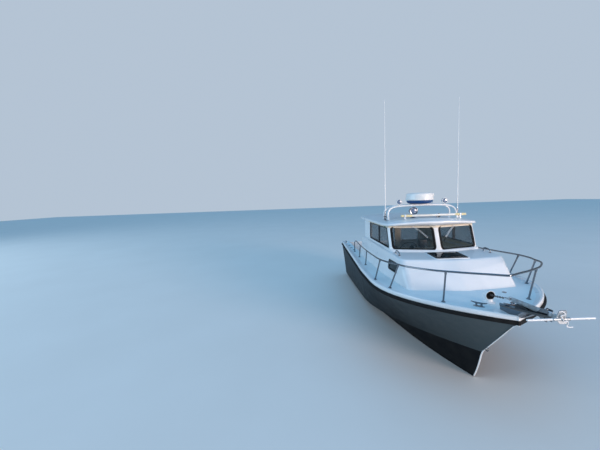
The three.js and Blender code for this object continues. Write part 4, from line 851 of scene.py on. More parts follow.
def build_house():
    levels = [TRUNK_TOP_Z + GAP, 2.1, 2.3, HOUSE_TOP_Z - GAP]
    outer, inner = (zip(*[[at(d, y, z) for d, y in house_plan(z, inset)] for z in levels]) for inset in
                    (0.0, HOUSE_WALL))
    rings = [[*out, *reversed(into)] for out, into in zip(outer, inner)]
    piece = make("house_moulding", loft(rings), "gelcoat", more=["liner"],
                 stands_for="windshield_frame cabin_side_port cabin_side_stbd")

    def faces_in(face):
        towards = Vector((face.center.x - (MID - 3.7), face.center.y, 0))
        return face.normal.dot(towards) < 0 and abs(face.normal.z) < 0.6
    paint_faces(piece.data, 1, faces_in)
    openings = [pane_shapes(sign, 0.0, (-0.14, 0.1), (-0.12, 0.12)) for sign in (1, -1)]
    cut(piece, [tool(shape) for pair in openings for shape in pair])


def open_band(rings):
    """A closed shape through open rings: its back and its two ends are filled in."""
    count = min(len(r) for r in rings)
    return loft(list(zip(*[r[(len(r) - count) // 2:][:count] for r in rings])))


def build_visor_trim():
    """A band round the top of the house, standing proud of it. Columns: height, how far out."""
    z0, z1 = HOUSE_TOP_Z - 0.042, HOUSE_TOP_Z - 0.001
    rows = [(z0, -0.012), (z0, 0.006), (lerp(z0, z1, 0.6), 0.0068), (lerp(z0, z1, 0.92), 0.0076),
            (z1, 0.0048), (z1, -0.012)]
    rings = [[at(d, y, z) for d, y in house_plan(z, -out) if d < 4.9] for z, out in rows]
    make("visor_trim", open_band(rings), "trim", angle=40)


def build_shield_coaming():
    """A sloped coaming at the windshield's foot. It is narrow at the hatch and at the house's corners."""
    def ring_at(z, reach, least):
        wide = [(d, y) for d, y in house_plan(z, -reach) if d < 3]
        slim = [(d, y) for d, y in house_plan(z, -least) if d < 3]
        ring = []
        for (d0, y0), (d1, y1) in zip(slim, wide):
            share = unit(abs(y0) / 0.24) * unit((1.0 - abs(y0)) / 0.14)
            ring.append(at(lerp(d0, d1, share), lerp(y0, y1, share), z))
        return ring
    # Columns: height over the trunk's top, reach, least reach
    rows = [(0.0, -0.012, -0.012), (0.0, 0.088, 0.026), (0.01, 0.084, 0.025), (0.03, 0.05, 0.022),
            (0.039, 0.028, 0.018), (0.041, 0.012, 0.012), (0.041, -0.012, -0.012)]
    rings = [ring_at(TRUNK_TOP_Z + 0.0004 + up, reach, least) for up, reach, least in rows]
    make("shield_coaming", open_band(rings), "gelcoat", angle=40)


def gasket(name, line, normal, half, proud=0.007):
    """A black rubber bead round a window, on the wall whose normal is given. On the front panes it is
    widened, so that part of it is painted shade at the frame's inner edge.
    """
    section = two_sided([(half, -0.004), (half * 0.9, proud * 0.6), (half * 0.4, proud)])
    make(name, sweep(line, section, True, up=normal), "rubber", angle=60)


def build_panes(side, sign):
    front, rear = pane_shapes(sign, -GAP, (-0.020, -0.012), (-0.022, -0.014))
    make(f"shield_pane_{side}", front, "glass", stands_for=f"windshield_glass_{side}")
    make(f"side_pane_{side}", rear, "glass", stands_for=f"side_glass_{side}")
    normal = (shield_point(sign, 0, 0, 1) - shield_point(sign, 0, 0, 0)).normalized()
    line = [shield_point(sign, s, u, -0.001) for s, u in pane_outline(0.004)]
    # A wide bead: partly rubber and black ceramic edge, partly painted shade at the frame's inner edge
    gasket(f"shield_gasket_and_shade_{side}", line, normal, 0.026)
    line = [Vector((x, sign * (HOUSE_OUTER_Y - 0.001), z)) for x, z in side_outline(0.004)]
    gasket(f"side_gasket_{side}", line, PORT * sign, 0.02)
    bars = []
    for d in (3.40, 3.46):
        inner, outer = sign * (HOUSE_OUTER_Y - 0.028), sign * (HOUSE_OUTER_Y - 0.006)
        bars.append(box(d - 0.012, d + 0.012, inner, outer, SIDE_WINDOW.low, SIDE_WINDOW.high))
    make(f"side_divider_{side}", bars, "black")


# Roof
ROOF = Sizes(half=1.05, edge=0.048, camber=0.065, rise=0.035, reach=0.3, z=HOUSE_TOP_Z + GAP, aft=5.34)
# The stretch of centreline that the roof's rings shrink towards
ROOF_SPINE = (2.95, 4.7)
# The bowed visor's lip. Columns: d, y.
ROOF_LIP = [(2.287, 0.1), (2.33, 0.4), (2.4, 0.68), (2.48, 0.86), (2.56, 0.96), (2.62, 1.005), (2.7, 1.03),
            (2.9, 1.05)]


def camber_z(y):
    return ROOF.camber * (1 - (y / ROOF.half) ** 2)


def lip_d(y):
    """How far aft the visor's lip lies at a distance from the centreline."""
    for (d0, y0), (d1, y1) in zip(ROOF_LIP, ROOF_LIP[1:]):
        if y <= y1:
            return lerp(d0, d1, max(0.0, (y - y0) / (y1 - y0)))
    return ROOF_LIP[-1][0]


def roof_top_z(y, d=3.6):
    inside = min(ROOF.half - abs(y), d - lip_d(abs(y)), ROOF.aft - d)
    return ROOF.z + ROOF.edge + camber_z(y) + ROOF.rise * unit(inside / ROOF.reach)


def roof_under_z(y, d):
    """Flat on the house, and lifted to the camber at the visor's lip."""
    lip = lip_d(abs(y))
    shut = SHIELD.centre_d + SHIELD.rake * (HOUSE_TOP_Z - TRUNK_TOP_Z) + SHIELD_SWEEP * abs(y) - 0.03
    share = unit((shut - d) / (shut - lip)) if shut > lip else 0.0
    return ROOF.z + camber_z(y) * share


def roof_outline():
    """The roof's plan with evenly spaced points. Columns: d, y."""
    lip = [(p.x, p.y) for p in smooth_line([(d, y, 0) for d, y in ROOF_LIP], 4)]
    side = [(d, ROOF.half) for d in (3.3, 3.8, 4.3, 4.8, 5.1)]
    corner = [(ROOF.aft - 0.14 + 0.14 * math.sin(a), ROOF.half - 0.1 + 0.1 * math.cos(a))
              for a in (math.radians(step * 15) for step in range(7))]
    half = [(lip[0][0], 0.0), (lip[0][0], 0.05)] + lip + side + corner
    half += [(ROOF.aft, y) for y in (0.7, 0.35, 0.0)]
    return half + [(d, -y) for d, y in reversed(half[1:-1])]


def build_roof():
    plan = [Vector(p) for p in roof_outline()]
    inward = []
    for before, after in zip(plan[-1:] + plan, plan[1:] + plan[:1]):
        along = (after - before).normalized()
        inward.append(Vector((-along.y, along.x)))
    if inward[0].x < 0:
        inward = [-v for v in inward]

    def ring(inset, shrink, height):
        points = []
        for p, into in zip(plan, inward):
            d, y = p + into * inset
            d = lerp(d, min(ROOF_SPINE[1], max(ROOF_SPINE[0], p.x)), shrink)
            y = lerp(y, 0.0, shrink)
            points.append(at(d, y, height(d, y)))
        return points
    lip = lambda d, y: roof_under_z(y, min(d, 5.3))
    rings = [ring(0.03, shrink, lip) for shrink in (0.9, 0.5, 0.22, 0.1, 0.04, 0)]
    rim = ((0.012, 0.001), (0.004, 0.006), (0.0, 0.014), (0.0, 0.030), (0.003, 0.039), (0.009, 0.0455))
    for inset, up in rim:
        rings.append(ring(inset, 0, lambda d, y: lip(d, y) + up))
    for shrink in (0, 0.03, 0.07, 0.12, 0.18, 0.25, 0.32, 0.5, 0.75, 0.96):
        rings.append(ring(0.018, shrink, lambda d, y: roof_top_z(y, d)))
    make("roof_moulding", loft(rings), "gelcoat", stands_for="cabin_roof", angle=32)


# Stainless rails. Columns of the line: d, y, height over the deck.
RAIL_LINE = [
    (5.42, 1.225, 0.005), (5.38, 1.232, 0.3), (5.18, 1.24, 0.392), (4.3, 1.29, 0.408), (3.3, 1.345, 0.43),
    (2.4, 1.385, 0.462), (1.85, 1.395, 0.488), (1.48, 1.325, 0.504), (1.24, 1.228, 0.514),
    (1.11, 1.19, 0.519), (0.96, 1.1, 0.524), (0.7, 0.85, 0.53), (0.58, 0.68, 0.534), (0.44, 0.45, 0.538),
    (0.33, 0.235, 0.541), (0.25, 0.09, 0.543), (0.215, 0, 0.544),
]
# Columns: the foot's d and y, the top's d, y and height over the deck
STANCHIONS = [
    (4.52, 1.255, 4.2, 1.296, 0.409), (3.48, 1.31, 3.15, 1.352, 0.434), (2.11, 1.42, 1.83, 1.392, 0.489),
    (1.5, 1.3, 1.235, 1.226, 0.514), (0.7, 0.69, 0.6, 0.709, 0.533),
]


def mirrored(rows):
    """A line of (d, y, z) rows that ends on the centreline, carried on to the other side."""
    return [at(*row) for row in rows] + [at(d, -y, z) for d, y, z in reversed(rows[:-1])]


def flange(d, y, z, radius=0.034):
    """A round foot with its three screw heads."""
    profile = [(0.0, 0.0), (radius, 0.0), (radius, 0.003), (radius * 0.9, 0.006), (radius * 0.55, 0.009),
               (radius * 0.5, 0.028), (0.0, 0.03)]
    parts = [lathe(profile, at(d, y, z), UP, 24)]
    for k in range(3):
        a = 2 * math.pi * k / 3 + 0.4
        spot = at(d, y, z) + Vector((math.cos(a), math.sin(a), 0)) * (radius * 0.74)
        parts.append(lathe([(0.0, 0.004), (0.005, 0.004), (0.005, 0.008), (0.0, 0.009)], spot, UP, 8))
    return joined(parts)


def build_bow_rail():
    parts = [tube(mirrored([(d, y, deck_z(d) + high) for d, y, high in RAIL_LINE]), 0.016, 16, 10)]
    for sign in (1, -1):
        parts.append(flange(5.42, sign * 1.225, deck_z(5.42) + 0.0008))
        for d, y, top_d, top_y, high in STANCHIONS:
            foot, top = at(d, sign * y, deck_z(d) + 0.008), at(top_d, sign * top_y, deck_z(top_d) + high)
            along = (top - foot).normalized()
            parts += [rod(foot, top, 0.014), flange(d, sign * y, deck_z(d) + 0.0008),
                      rod(top - along * 0.05, top - along * 0.005, 0.0175)]
    make("bow_rail_tubes", parts, "steel", stands_for="bow_rail", angle=40)


def build_grab_rail(side, sign):
    d0, d1, y, high = 2.01, 2.23, sign * 0.94, 0.066
    rows = [(d0, 0.004), (d0 + 0.01, high - 0.02), (d0 + 0.045, high), (d1 - 0.045, high),
            (d1 - 0.01, high - 0.02), (d1, 0.004)]
    parts = [flange(d, y, trunk_top_z(d + 0.026) + 0.001, 0.024) for d in (d0, d1)]
    parts.append(tube([at(d, y, trunk_top_z(d) + up) for d, up in rows], 0.011))
    make(f"grab_rail_{side}", parts, "steel", stands_for=f"trunk_grab_rail_{side}", angle=40)


# Radar arch and what stands on it
ARCH = Sizes(fore=3.08, aft=3.43, half=0.83, top=2.985, radius=0.023, plate=0.034, lamp_y=0.555)


def hoop(d, lean):
    half, top = ARCH.half, ARCH.top
    foot_z = roof_top_z(half - ARCH.radius) + 0.002
    rows = [(half, foot_z), (half - 0.008, foot_z + 0.18), (half - 0.06, top - 0.072),
            (half - 0.17, top - 0.022), (half * 0.45, top), (0, top + 0.006)]
    leant = [(d + lean * (z - foot_z) / (top - foot_z), y, z) for y, z in rows]
    return tube(mirrored(leant), ARCH.radius, 18, 10)


def build_arch():
    fore, aft, half, top = ARCH.fore, ARCH.aft, ARCH.half, ARCH.top
    parts = [hoop(fore, 0.07), hoop(aft, -0.03)]
    for y, z in ((-0.64, top - 0.018), (-0.2, top + 0.002), (0.2, top + 0.002), (0.64, top - 0.018)):
        parts.append(rod(at(fore + 0.06, y, z), at(aft - 0.02, y, z), 0.017))
    parts.append(box(fore + 0.09, aft - 0.04, -0.23, 0.23, top + 0.018, top + ARCH.plate))
    for y in (half, -half):
        parts += [flange(d, y, roof_top_z(half - 0.042) + 0.001, 0.042) for d in (fore, aft)]
    make("arch_tubes", parts, "arch", stands_for="radar_arch", angle=40)


def build_radar():
    centre = at(3.265, 0, ARCH.top + ARCH.plate + GAP)
    r = 0.325
    tray = [(0, 0), (0.19, 0), (0.27, 0.018), (0.296, 0.05), (0.302, 0.084), (0, 0.084)]
    make("radar_tray", turned(tray, 0.012, centre, UP, 64), "blue", stands_for="radar_base")
    dome = [(0, 0.0843), (r - 0.02, 0.0843), (r, 0.098), (r - 0.004, 0.128), (r - 0.022, 0.245),
            (r - 0.06, 0.262), (0, 0.266)]
    make("radar_cover", turned(dome, 0.014, centre, UP, 64), "radar", stands_for="radar_dome", angle=40)
    seam = [(r - 0.001, 0.1175), (r + 0.0015, 0.1185), (r + 0.0015, 0.1215), (r - 0.001, 0.1225)]
    make("radar_seam", lathe(seam, centre, UP, 64, "joined"), "radar")


def build_deck_light(side, sign):
    d, y = ARCH.fore + 0.064, sign * ARCH.lamp_y
    z = ARCH.top + 0.016
    centre = at(d, y, z + 0.079)
    shell = [(0, -0.046), (0.04, -0.044), (0.064, -0.02), (0.068, 0.04), (0.068, 0.048), (0.06, 0.05),
             (0.058, 0.036), (0, 0.036)]
    parts = [turned(shell, 0.006, centre, FORWARD, 32), rod(at(d, y, z + GAP), at(d, y, z + 0.03), 0.012),
             rod(at(d, y - 0.03, z + 0.018), at(d, y + 0.03, z + 0.018), 0.008)]
    make(f"deck_lamp_{side}", parts, "radar", stands_for=f"deck_light_{side}", angle=40)
    glass = [(0, 0.037), (0.057, 0.037), (0.056, 0.041), (0, 0.046)]
    make(f"deck_lens_{side}", turned(glass, 0.003, centre, FORWARD, 32), "lens", angle=40)


def build_search_light():
    foot = at(2.985, -0.27, roof_top_z(-0.21) + 0.0005)
    centre = foot + UP * 0.166
    post = [(0, 0), (0.06, 0), (0.06, 0.008), (0.034, 0.016), (0.028, 0.05), (0.026, 0.1), (0, 0.1)]
    shell = [(0, -0.074), (0.05, -0.068), (0.084, -0.03), (0.095, 0.03), (0.0965, 0.058), (0.09, 0.064),
             (0.072, 0.06), (0.07, 0.05), (0, 0.05)]
    parts = [turned(shell, 0.006, centre, FORWARD, 40), turned(post, 0.006, foot, UP, 24)]
    parts += [rod(centre + PORT * (s * 0.086), centre + PORT * (s * 0.104), 0.012, 0.009) for s in (1, -1)]
    make("search_lamp", parts, "steel", stands_for="search_light", angle=40)
    glass = [(0, 0.046), (0.0705, 0.046), (0.069, 0.054), (0.04, 0.059), (0, 0.061)]
    make("search_lens", turned(glass, 0.01, centre, FORWARD, 40), "lens", angle=40)


def build_pole():
    """The pole across the roof's front: white, with cream ends, in two clamps."""
    d, z, radius = 2.83, 2.757, 0.027
    start, end, cream = -0.61, 0.9, 0.25
    parts = ((start, start + cream, "pole_cream"), (start + cream, end - cream, "pole_white"),
             (end - cream, end, "pole_cream"))
    for i, (y0, y1, material) in enumerate(parts):
        r = radius if material == "pole_white" else radius + 0.002
        profile = [(0, 0), (r, 0), (r, y1 - y0), (0, y1 - y0)]
        make(f"pole_part_{i}", turned(profile, 0.004, at(d, y0, z), PORT), material,
             stands_for="" if i else "roof_light_bar", angle=40)
    clamps = []
    collar = [(radius + out, along) for out, along in
              ((0.003, -0.018), (0.008, -0.018), (0.008, 0.018), (0.003, 0.018))]
    for y in (start + 0.09, end - 0.13):
        low = max(roof_top_z(y - 0.018), roof_top_z(y + 0.018)) + 0.0005
        clamps += [box(d - 0.012, d + 0.012, y - 0.016, y + 0.016, low, z - 0.02),
                   box(d - 0.04, d + 0.04, y - 0.018, y + 0.018, low, low + 0.008),
                   lathe(collar, at(d, y, z), PORT, 28, "joined")]
    make("pole_clamps", clamps, "arch", slot="cream")


def build_whip(side, sign):
    """A long aerial in its folding mount."""
    d, half, length = 3.15, 0.885, 2.79
    y, base = sign * half, roof_top_z(half - 0.04) + 0.0004
    fold = base + 0.09
    foot = [(0, 0), (0.04, 0), (0.04, 0.008), (0.03, 0.015), (0.024, 0.022), (0.024, 0.048), (0, 0.048)]
    cheek = lambda y0, y1, top: box(d - 0.022, d + 0.022, y + y0, y + y1, fold - 0.046, fold + top)
    knob = rod(at(d, y + sign * 0.026, fold), at(d, y + sign * 0.04, fold), 0.011)
    mount = [turned(foot, 0.004, at(d, y, base)), cheek(-0.027, -0.0152, 0.02), cheek(0.0152, 0.027, 0.02),
             cheek(-0.027, 0.027, -0.034), knob]
    make(f"whip_ratchet_{side}", mount, "steel", stands_for=f"whip_mount_{side}", angle=40)
    ferrule = [(0, -0.013), (0.012, -0.013), (0.013, 0.0), (0.013, 0.12), (0.010, 0.14), (0, 0.14)]
    make(f"whip_ferrule_{side}", turned(ferrule, 0.003, at(d, y, fold), UP, 20), "steel", f"whip_{side}",
         stands_for=f"whip_aerial_{side}", angle=40)
    mast = [(0, 0.13), (0.0108, 0.131), (0.0098, 0.6), (0.0086, 1.24), (0.0096, 1.245), (0.0096, 1.275),
            (0.0068, 1.28), (0.005, 2.1), (0.0038, length - 0.01), (0, length)]
    make(f"whip_rod_{side}", lathe(mast, at(d, y, fold), UP, 16), "whip", f"whip_{side}", angle=50)


def build_wiper(side, sign):
    """Arm and blade, placed by the distance along the pane, up it and out of it."""
    p = lambda s, u, out: shield_point(sign, s, u, out)
    s, head = 0.472, SHIELD_HEIGHT - 0.024
    hub = turned([(0, 0), (0.012, 0), (0.012, 0.02), (0.008, 0.026), (0, 0.026)], 0.003, p(s, head, 0.001),
                 p(0, 0, 1) - p(0, 0, 0), 20)
    flat = [(-0.005, -0.002), (0.005, -0.002), (0.005, 0.002), (-0.005, 0.002)]
    arm = [(s, head, 0.022), (0.33, 0.45, 0.024), (0.205, 0.318, 0.018)]
    parts = [hub, sweep([p(0.218, 0.304, 0.018), p(0.192, 0.332, 0.018)], flat)]
    parts += [sweep([p(x - a, u + a, out) for x, u, out in arm], flat) for a in (-0.007, 0.007)]
    make(f"wiper_arm_{side}", parts, "arch", stands_for=f"wiper_{side}", slot="black", angle=40)
    squeegee = [(-0.005, -0.005), (0.005, -0.005), (0.003, 0.004), (-0.003, 0.004)]
    blade = sweep([p(0.265, 0.4, 0.013), p(0.2, 0.315, 0.016), p(0.128, 0.215, 0.013)], squeegee)
    make(f"wiper_blade_{side}", blade, "rubber", slot="black", angle=40)


# Ground tackle
ANCHOR = Sizes(axis_d=-0.59, axis_z=1.755, tail_d=0.13, tail_z=1.715, high=0.064, tail_high=0.06, droop=0.184,
               stock=0.39)
PIPE = Sizes(d=0.638, z=1.61)


def anchor_shank():
    a = ANCHOR
    edge = ((-0.7, -1), (0.7, -1), (1, -0.86), (1, 0.86), (0.7, 1), (-0.7, 1), (-1, 0.86), (-1, -0.86))
    rings = []
    for share, width in ((0, 0.011), (0.3, 0.011), (0.7, 0.0105), (1, 0.0095)):
        d = lerp(a.axis_d + 0.0183, a.tail_d, share)
        middle = lerp(a.axis_z, a.tail_z, (d - a.axis_d) / (a.tail_d - a.axis_d))
        high = lerp(a.high, a.tail_high, share) / 2
        rings.append([at(d, width * y, middle + high * z) for y, z in edge])
    return loft(rings)


def anchor_fluke(side, middle, along):
    """One blade, from the crown's middle back along its slope, with the rib on it."""
    blade = [(0.014, 0.044), (0.014, 0.086), (0.205, 0.114), (0.79, 0.146), (0.77, 0.122), (0.5, 0.046)]
    rise = along.cross(PORT).normalized()
    rib = []
    for reach, y, high in ((0.02, 0.065, 0.018), (0.4, 0.085, 0.014), (0.74, 0.13, 0.004)):
        spot = middle - along * reach + PORT * (side * y)
        section = ((-0.004, 0.004), (0.004, 0.004), (0.002, high), (-0.002, high))
        rib.append([spot + PORT * w + rise * h for w, h in section])
    blade = [(-reach, side * y) for reach, y in blade]
    return [slab(blade, 0.01, middle - UP * 0.005, along, PORT), loft(rib)]


def build_anchor():
    a = ANCHOR
    ring = [(0, -0.012), (0.026, -0.012), (0.026, 0.012), (0, 0.012)]
    eye = turned(ring, 0.004, at(a.tail_d - 0.004, 0, a.tail_z), PORT, 24)
    rounded(make("anchor_bar", [anchor_shank(), eye], "galvanised", stands_for="anchor_shank"), 0.0015, 2)
    # A bright zinc block on the shank's top: partly a real sleeve, partly a painted highlight
    rounded(make("anchor_sleeve_and_highlight", box(-0.48, -0.35, -0.018, 0.018, 1.727, 1.783), "zinc"), 0.003)

    along = Vector((1, 0, a.droop)).normalized()
    middle = at(a.axis_d, 0, a.axis_z)
    blades = anchor_fluke(1, middle, along) + anchor_fluke(-1, middle, along)
    # The blades are galvanised like the shank; their dark iron is painted shade, with some rust
    rounded(make("anchor_blades", blades, "dark_iron", stands_for="anchor_flukes"), 0.0012, 2)
    crown = [rod(middle + PORT * y0, middle + PORT * y1, 0.0215, sides=24) for y0, y1 in
             ((0.02, 0.095), (-0.095, -0.02))]
    for tilt, long, up in ((78, 0.11, 0.004), (-60, 0.05, -0.004)):
        angle = math.radians(tilt)
        lip = fillet_loop([(0, -0.06), (long, -0.045), (long, 0.045), (0, 0.06)], 0.02)
        crown.append(slab(lip, 0.008, middle + UP * up, Vector((math.cos(angle), 0, math.sin(angle))), PORT))
    make("anchor_crown", crown, "galvanised")
    lashing = [(-0.608, -0.045, 1.85), (-0.611, -0.008, 1.852), (-0.616, 0.024, 1.82), (-0.612, -0.02, 1.805),
               (-0.613, 0.0, 1.768), (-0.608, 0.018, 1.733), (-0.612, 0.05, 1.738), (-0.608, 0.066, 1.71),
               (-0.606, 0.052, 1.676), (-0.606, 0.08, 1.664), (-0.606, 0.124, 1.664)]
    make("anchor_lashing", tube([at(*p) for p in lashing], 0.0065, 10, 5), "whip", slot="galvanised",
         angle=60)
    stock = [(0, -a.stock), (0.0125, -a.stock), (0.0125, a.stock), (0, a.stock)]
    make("anchor_stock", turned(stock, 0.003, middle, PORT, 20), "whip", slot="galvanised")


def build_chain():
    start, end = at(ANCHOR.tail_d + 0.02, 0, ANCHOR.tail_z), at(PIPE.d + 0.04, 0, PIPE.z)
    along = (end - start).normalized()

    def link(share, flat, long, wide, wire, points, sides):
        """A link at a share of the chain's length, lying in the plane of the chain and flat."""
        centre = start.lerp(end, share) - UP * (0.008 * math.sin(math.pi * share))
        line = [centre + along * (c * long) + flat * (s * wide) for c, s in circle(1.0, points)]
        return sweep(line, circle(wire, sides), True)
    count = 19
    upright = along.cross(PORT).normalized()
    links = [link((i + 0.5) / count, PORT if i % 2 else upright, 0.0185, 0.0115, 0.0042, 20, 8)
             for i in range(count)]
    make("anchor_links", links, "dark_iron", stands_for="anchor_chain", angle=60)
    shackles = [link(0.035, upright, 0.044, 0.03, 0.009, 24, 10),
                link(0.15, PORT, 0.042, 0.027, 0.009, 24, 10)]
    make("anchor_shackles", shackles, "zinc", angle=60)


def build_chain_stopper():
    """Two jaws on the roller's channel, on each side of the shank, with a pin under it."""
    outline = fillet_loop([(-0.045, 1.62), (-0.035, 1.685), (-0.01, 1.71), (0.04, 1.706), (0.17, 1.697),
                           (0.185, 1.66)], 0.012)
    parts = [slab(outline, 0.008, at(0, y, 0), FORWARD, UP) for y in (-0.0345, 0.0425)]
    parts += [rod(at(0.005, -0.047, 1.676), at(0.005, 0.047, 1.676), 0.007),
              rod(at(-0.15, -0.047, 1.68), at(-0.15, -0.034, 1.68), 0.009)]
    rounded(make("chain_stopper", parts, "black"), 0.0015, 2)


def build_chain_pipe():
    d, z = PIPE.d, PIPE.z
    foot = [(0, 0.001), (0.092, 0.001), (0.092, 0.007), (0.07, 0.014), (0.06, 0.03), (0.058, 0.06),
            (0, 0.062)]
    hood = [(0, -0.08), (0.046, -0.07), (0.072, -0.03), (0.075, 0.03), (0.076, 0.046), (0.069, 0.047),
            (0.064, 0.03), (0.058, -0.024), (0, -0.056)]
    parts = [turned(foot, 0.006, at(d, 0, deck_z(d) + GAP), UP, 40),
             turned(hood, 0.006, at(d, 0, z), FORWARD, 40)]
    make("chain_hood", parts, "gelcoat", stands_for="chain_pipe", angle=40)
    # A near-black cone closing the hood's mouth: painted shade where the pipe's hole is
    dark = [(0, -0.05), (0.056, -0.024), (0.0635, 0.03), (0.0665, 0.04), (0, 0.026)]
    make("chain_hood_painted_shade", lathe(dark, at(d, 0, z), FORWARD, 32), "throat")


def build_cleat(name, d, y, turn):
    foot = at(d, y, deck_z(d) + 0.0023)
    along = Vector((math.cos(turn), -math.sin(turn), 0))
    side = along.cross(UP)
    centre = foot + UP * 0.052
    horns = [(-0.108, 0.012), (-0.07, 0.004), (-0.03, 0.0), (0.03, 0.0), (0.07, 0.004), (0.108, 0.012)]
    line = smooth_line([centre + along * a + UP * b for a, b in horns], 6)
    rings = []
    for i, p in enumerate(line):
        r = 0.0135 - 0.006 * (2 * i / (len(line) - 1) - 1) ** 2
        rings.append([p + (side * c + UP * s) * r for c, s in circle(1.0, 16)])
    plate = [(c * 0.078, s * 0.03) for c, s in circle(1.0, 28)]
    parts = [loft(rings), slab(plate, 0.006, foot - UP * 0.001, along, -side)]
    parts += [rod(foot + along * a, centre + along * a, 0.017, 0.012) for a in (-0.034, 0.034)]
    make(f"cleat_{name}", parts, "steel", stands_for=name, angle=50)


# Engine
def build_engine():
    # Columns: height over the leg, fore and aft end, half width
    rows = [(0.0003, 8.76, 9.15, 0.165), (0.012, 8.73, 9.18, 0.19), (0.05, 8.675, 9.225, 0.228),
            (0.12, 8.63, 9.255, 0.25), (0.25, 8.58, 9.28, 0.27), (0.36, 8.575, 9.28, 0.268),
            (0.45, 8.60, 9.262, 0.256), (0.53, 8.64, 9.225, 0.23), (0.58, 8.69, 9.17, 0.19),
            (0.60, 8.76, 9.10, 0.13), (0.604, 8.85, 9.02, 0.06)]
    leg_top = 0.53
    rings = []
    for up, d0, d1, half in rows:
        droop = 0.05 * max(0, up - 0.06)
        rings.append([at((d0 + d1) / 2 - (d1 - d0) / 2 * x, half * y, leg_top + up - droop * x)
                      for x, y in squircle(0.66, 48)])
    make("engine_cowl", loft(rings), "engine", "motor", stands_for="motor_cowl", angle=40)

    def skin(ring, centre, proud):
        """The ring again, a little outside itself."""
        return [p + Vector((p.x - centre.x, p.y - centre.y, 0)).normalized() * proud for p in ring]
    band = [skin(ring, at(8.95, 0, 0), 0.003) for ring in rings[2:4]]
    make("engine_band", loft(band), "black", "motor", angle=40)
    low, high = (skin(ring, sum(ring, Vector()) / len(ring), 0.0025) for ring in rings[4:6])
    edge = [p.lerp(q, 0.28) for p, q in zip(low, high)]
    make("engine_flash", loft([low, edge]), "silver", "motor", angle=40)
    rounded(make("engine_latch", box(9.262, 9.278, -0.035, 0.035, 0.69, 0.73), "black", "motor"), 0.005)


def build_propeller():
    origin = at(9.1504, 0, -0.65)
    hub = [(0, 0), (0.05, 0), (0.058, 0.03), (0.056, 0.06), (0.048, 0.15), (0.02, 0.152), (0, 0.152)]
    parts = [turned(hub, 0.008, origin, AFT, 32)]
    # Columns: radius, half chord, pitch angle
    rows = ((0.03, 0.05, 54), (0.06, 0.062, 46), (0.09, 0.074, 38), (0.12, 0.078, 32), (0.15, 0.076, 27),
            (0.175, 0.06, 24), (0.19, 0.036, 21), (0.197, 0.012, 20))
    # Columns: share of the half chord, share of the thickness
    section = ((-1, 0), (-0.6, 0.5), (-0.1, 0.9), (0.5, 0.7), (1, 0), (0.5, -0.5), (-0.1, -0.6), (-0.6, -0.4))
    for k in range(3):
        spin = Matrix.Rotation(k * 2 * math.pi / 3, 3, "X")
        rings = []
        for radius, chord, pitch in rows:
            sin, cos = math.sin(math.radians(pitch)), math.cos(math.radians(pitch))
            thick = 0.005 * (1 - radius * 3.2)
            ring = []
            for c, t in ((chord * share, thick * part) for share, part in section):
                point = Vector((t * cos - c * sin - radius * 0.12, c * cos + t * sin, radius))
                ring.append(origin + AFT * 0.072 + spin @ point)
            rings.append(ring)
        parts.append(loft(rings))
    make("propeller_blades", parts, "steel", "prop", stands_for="propeller", angle=50)


# Seats
def cushion(centre, size, crown):
    """A padded block with a crowned top and soft corners."""
    layers = 9
    corners = squircle(0.32, 40)

    def ring(share, up):
        return [centre + Vector((size.x / 2 * share * a, size.y / 2 * share * b, up)) for a, b in corners]
    bulges = []
    for v in (k / (layers - 1) for k in range(layers)):
        bulges.append((1 - 0.07 * (abs(v - 0.5) * 2) ** 3 - 0.01 * math.sin(v * math.pi), v))
    rings = [ring(bulge, size.z * (v - 0.5)) for bulge, v in bulges]
    for share in (0.8, 0.55, 0.3, 0.08):
        rings.append(ring(bulges[-1][0] * share, size.z / 2 + crown * (0.5 - share ** 2)))
    return loft(rings)


def build_seat(name, y):
    base = cushion(at(3.76, y, 1.262), Vector((0.45, 0.47, 0.075)), 0.02)
    rings = []
    for v in (k / 11 for k in range(12)):
        end = (abs(v - 0.5) * 2) ** 4
        half, thick = 0.233 * (1 - 0.12 * end), 0.036 * (1 - 0.55 * end)
        rings.append([at(3.965 + 0.012 * v - thick * a, y + half * b, lerp(1.31, 1.722, v))
                      for a, b in squircle(0.45, 36)])
    piece = make(f"{name}_cushion", [base, loft(rings)], "vinyl", stands_for=f"{name}_seat_cushion", angle=60)


def build_berth_cushion(side, sign):
    shape = cushion(at(2.2, sign * 0.36, 0.946), Vector((0.8, 0.52, 0.09)), 0.02)
    make(f"berth_cushion_{side}", shape, "vinyl", angle=60)


# Helm
def build_wheel():
    hub = at(3.105, -0.34, 1.93)
    axis = Vector((-0.86, 0, 0.51)).normalized()
    rise = axis.cross(PORT).normalized()
    rim = [hub + (PORT * c + rise * s) * 0.195 for c, s in circle(1.0, 56)]
    make("wheel_rim", sweep(rim, circle(0.0125, 12), True), "black", "wheel", stands_for="steering_wheel",
         angle=60)
    boss = [(0, -0.034), (0.034, -0.034), (0.038, 0.0), (0.034, 0.018), (0, 0.022)]
    parts = [turned(boss, 0.006, hub, axis)]
    for a in (math.radians(angle) for angle in (90, 210, 330)):
        end = hub + (PORT * math.cos(a) + rise * math.sin(a)) * 0.19
        parts.append(rod(hub - axis * 0.01, end, 0.010, 0.007))
    make("wheel_spokes", parts, "steel", "wheel", angle=40)


def build_plotter():
    low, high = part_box("chart_plotter")
    fore, back = MID - high.x, MID - low.x
    middle = (low.y + high.y) / 2
    case = box(fore, back, low.y, high.y, low.z + 0.04, high.z)
    rounded(make("plotter_case", case, "black", stands_for="chart_plotter"), 0.012)
    foot = box(fore + 0.006, back - 0.006, middle - 0.045, middle + 0.045, low.z, low.z + 0.045)
    make("plotter_foot", foot, "black")
    screen = box(back - 0.001, back + 0.001, low.y + 0.02, high.y - 0.02, low.z + 0.06, high.z - 0.02)
    make("plotter_screen", screen, "screen")


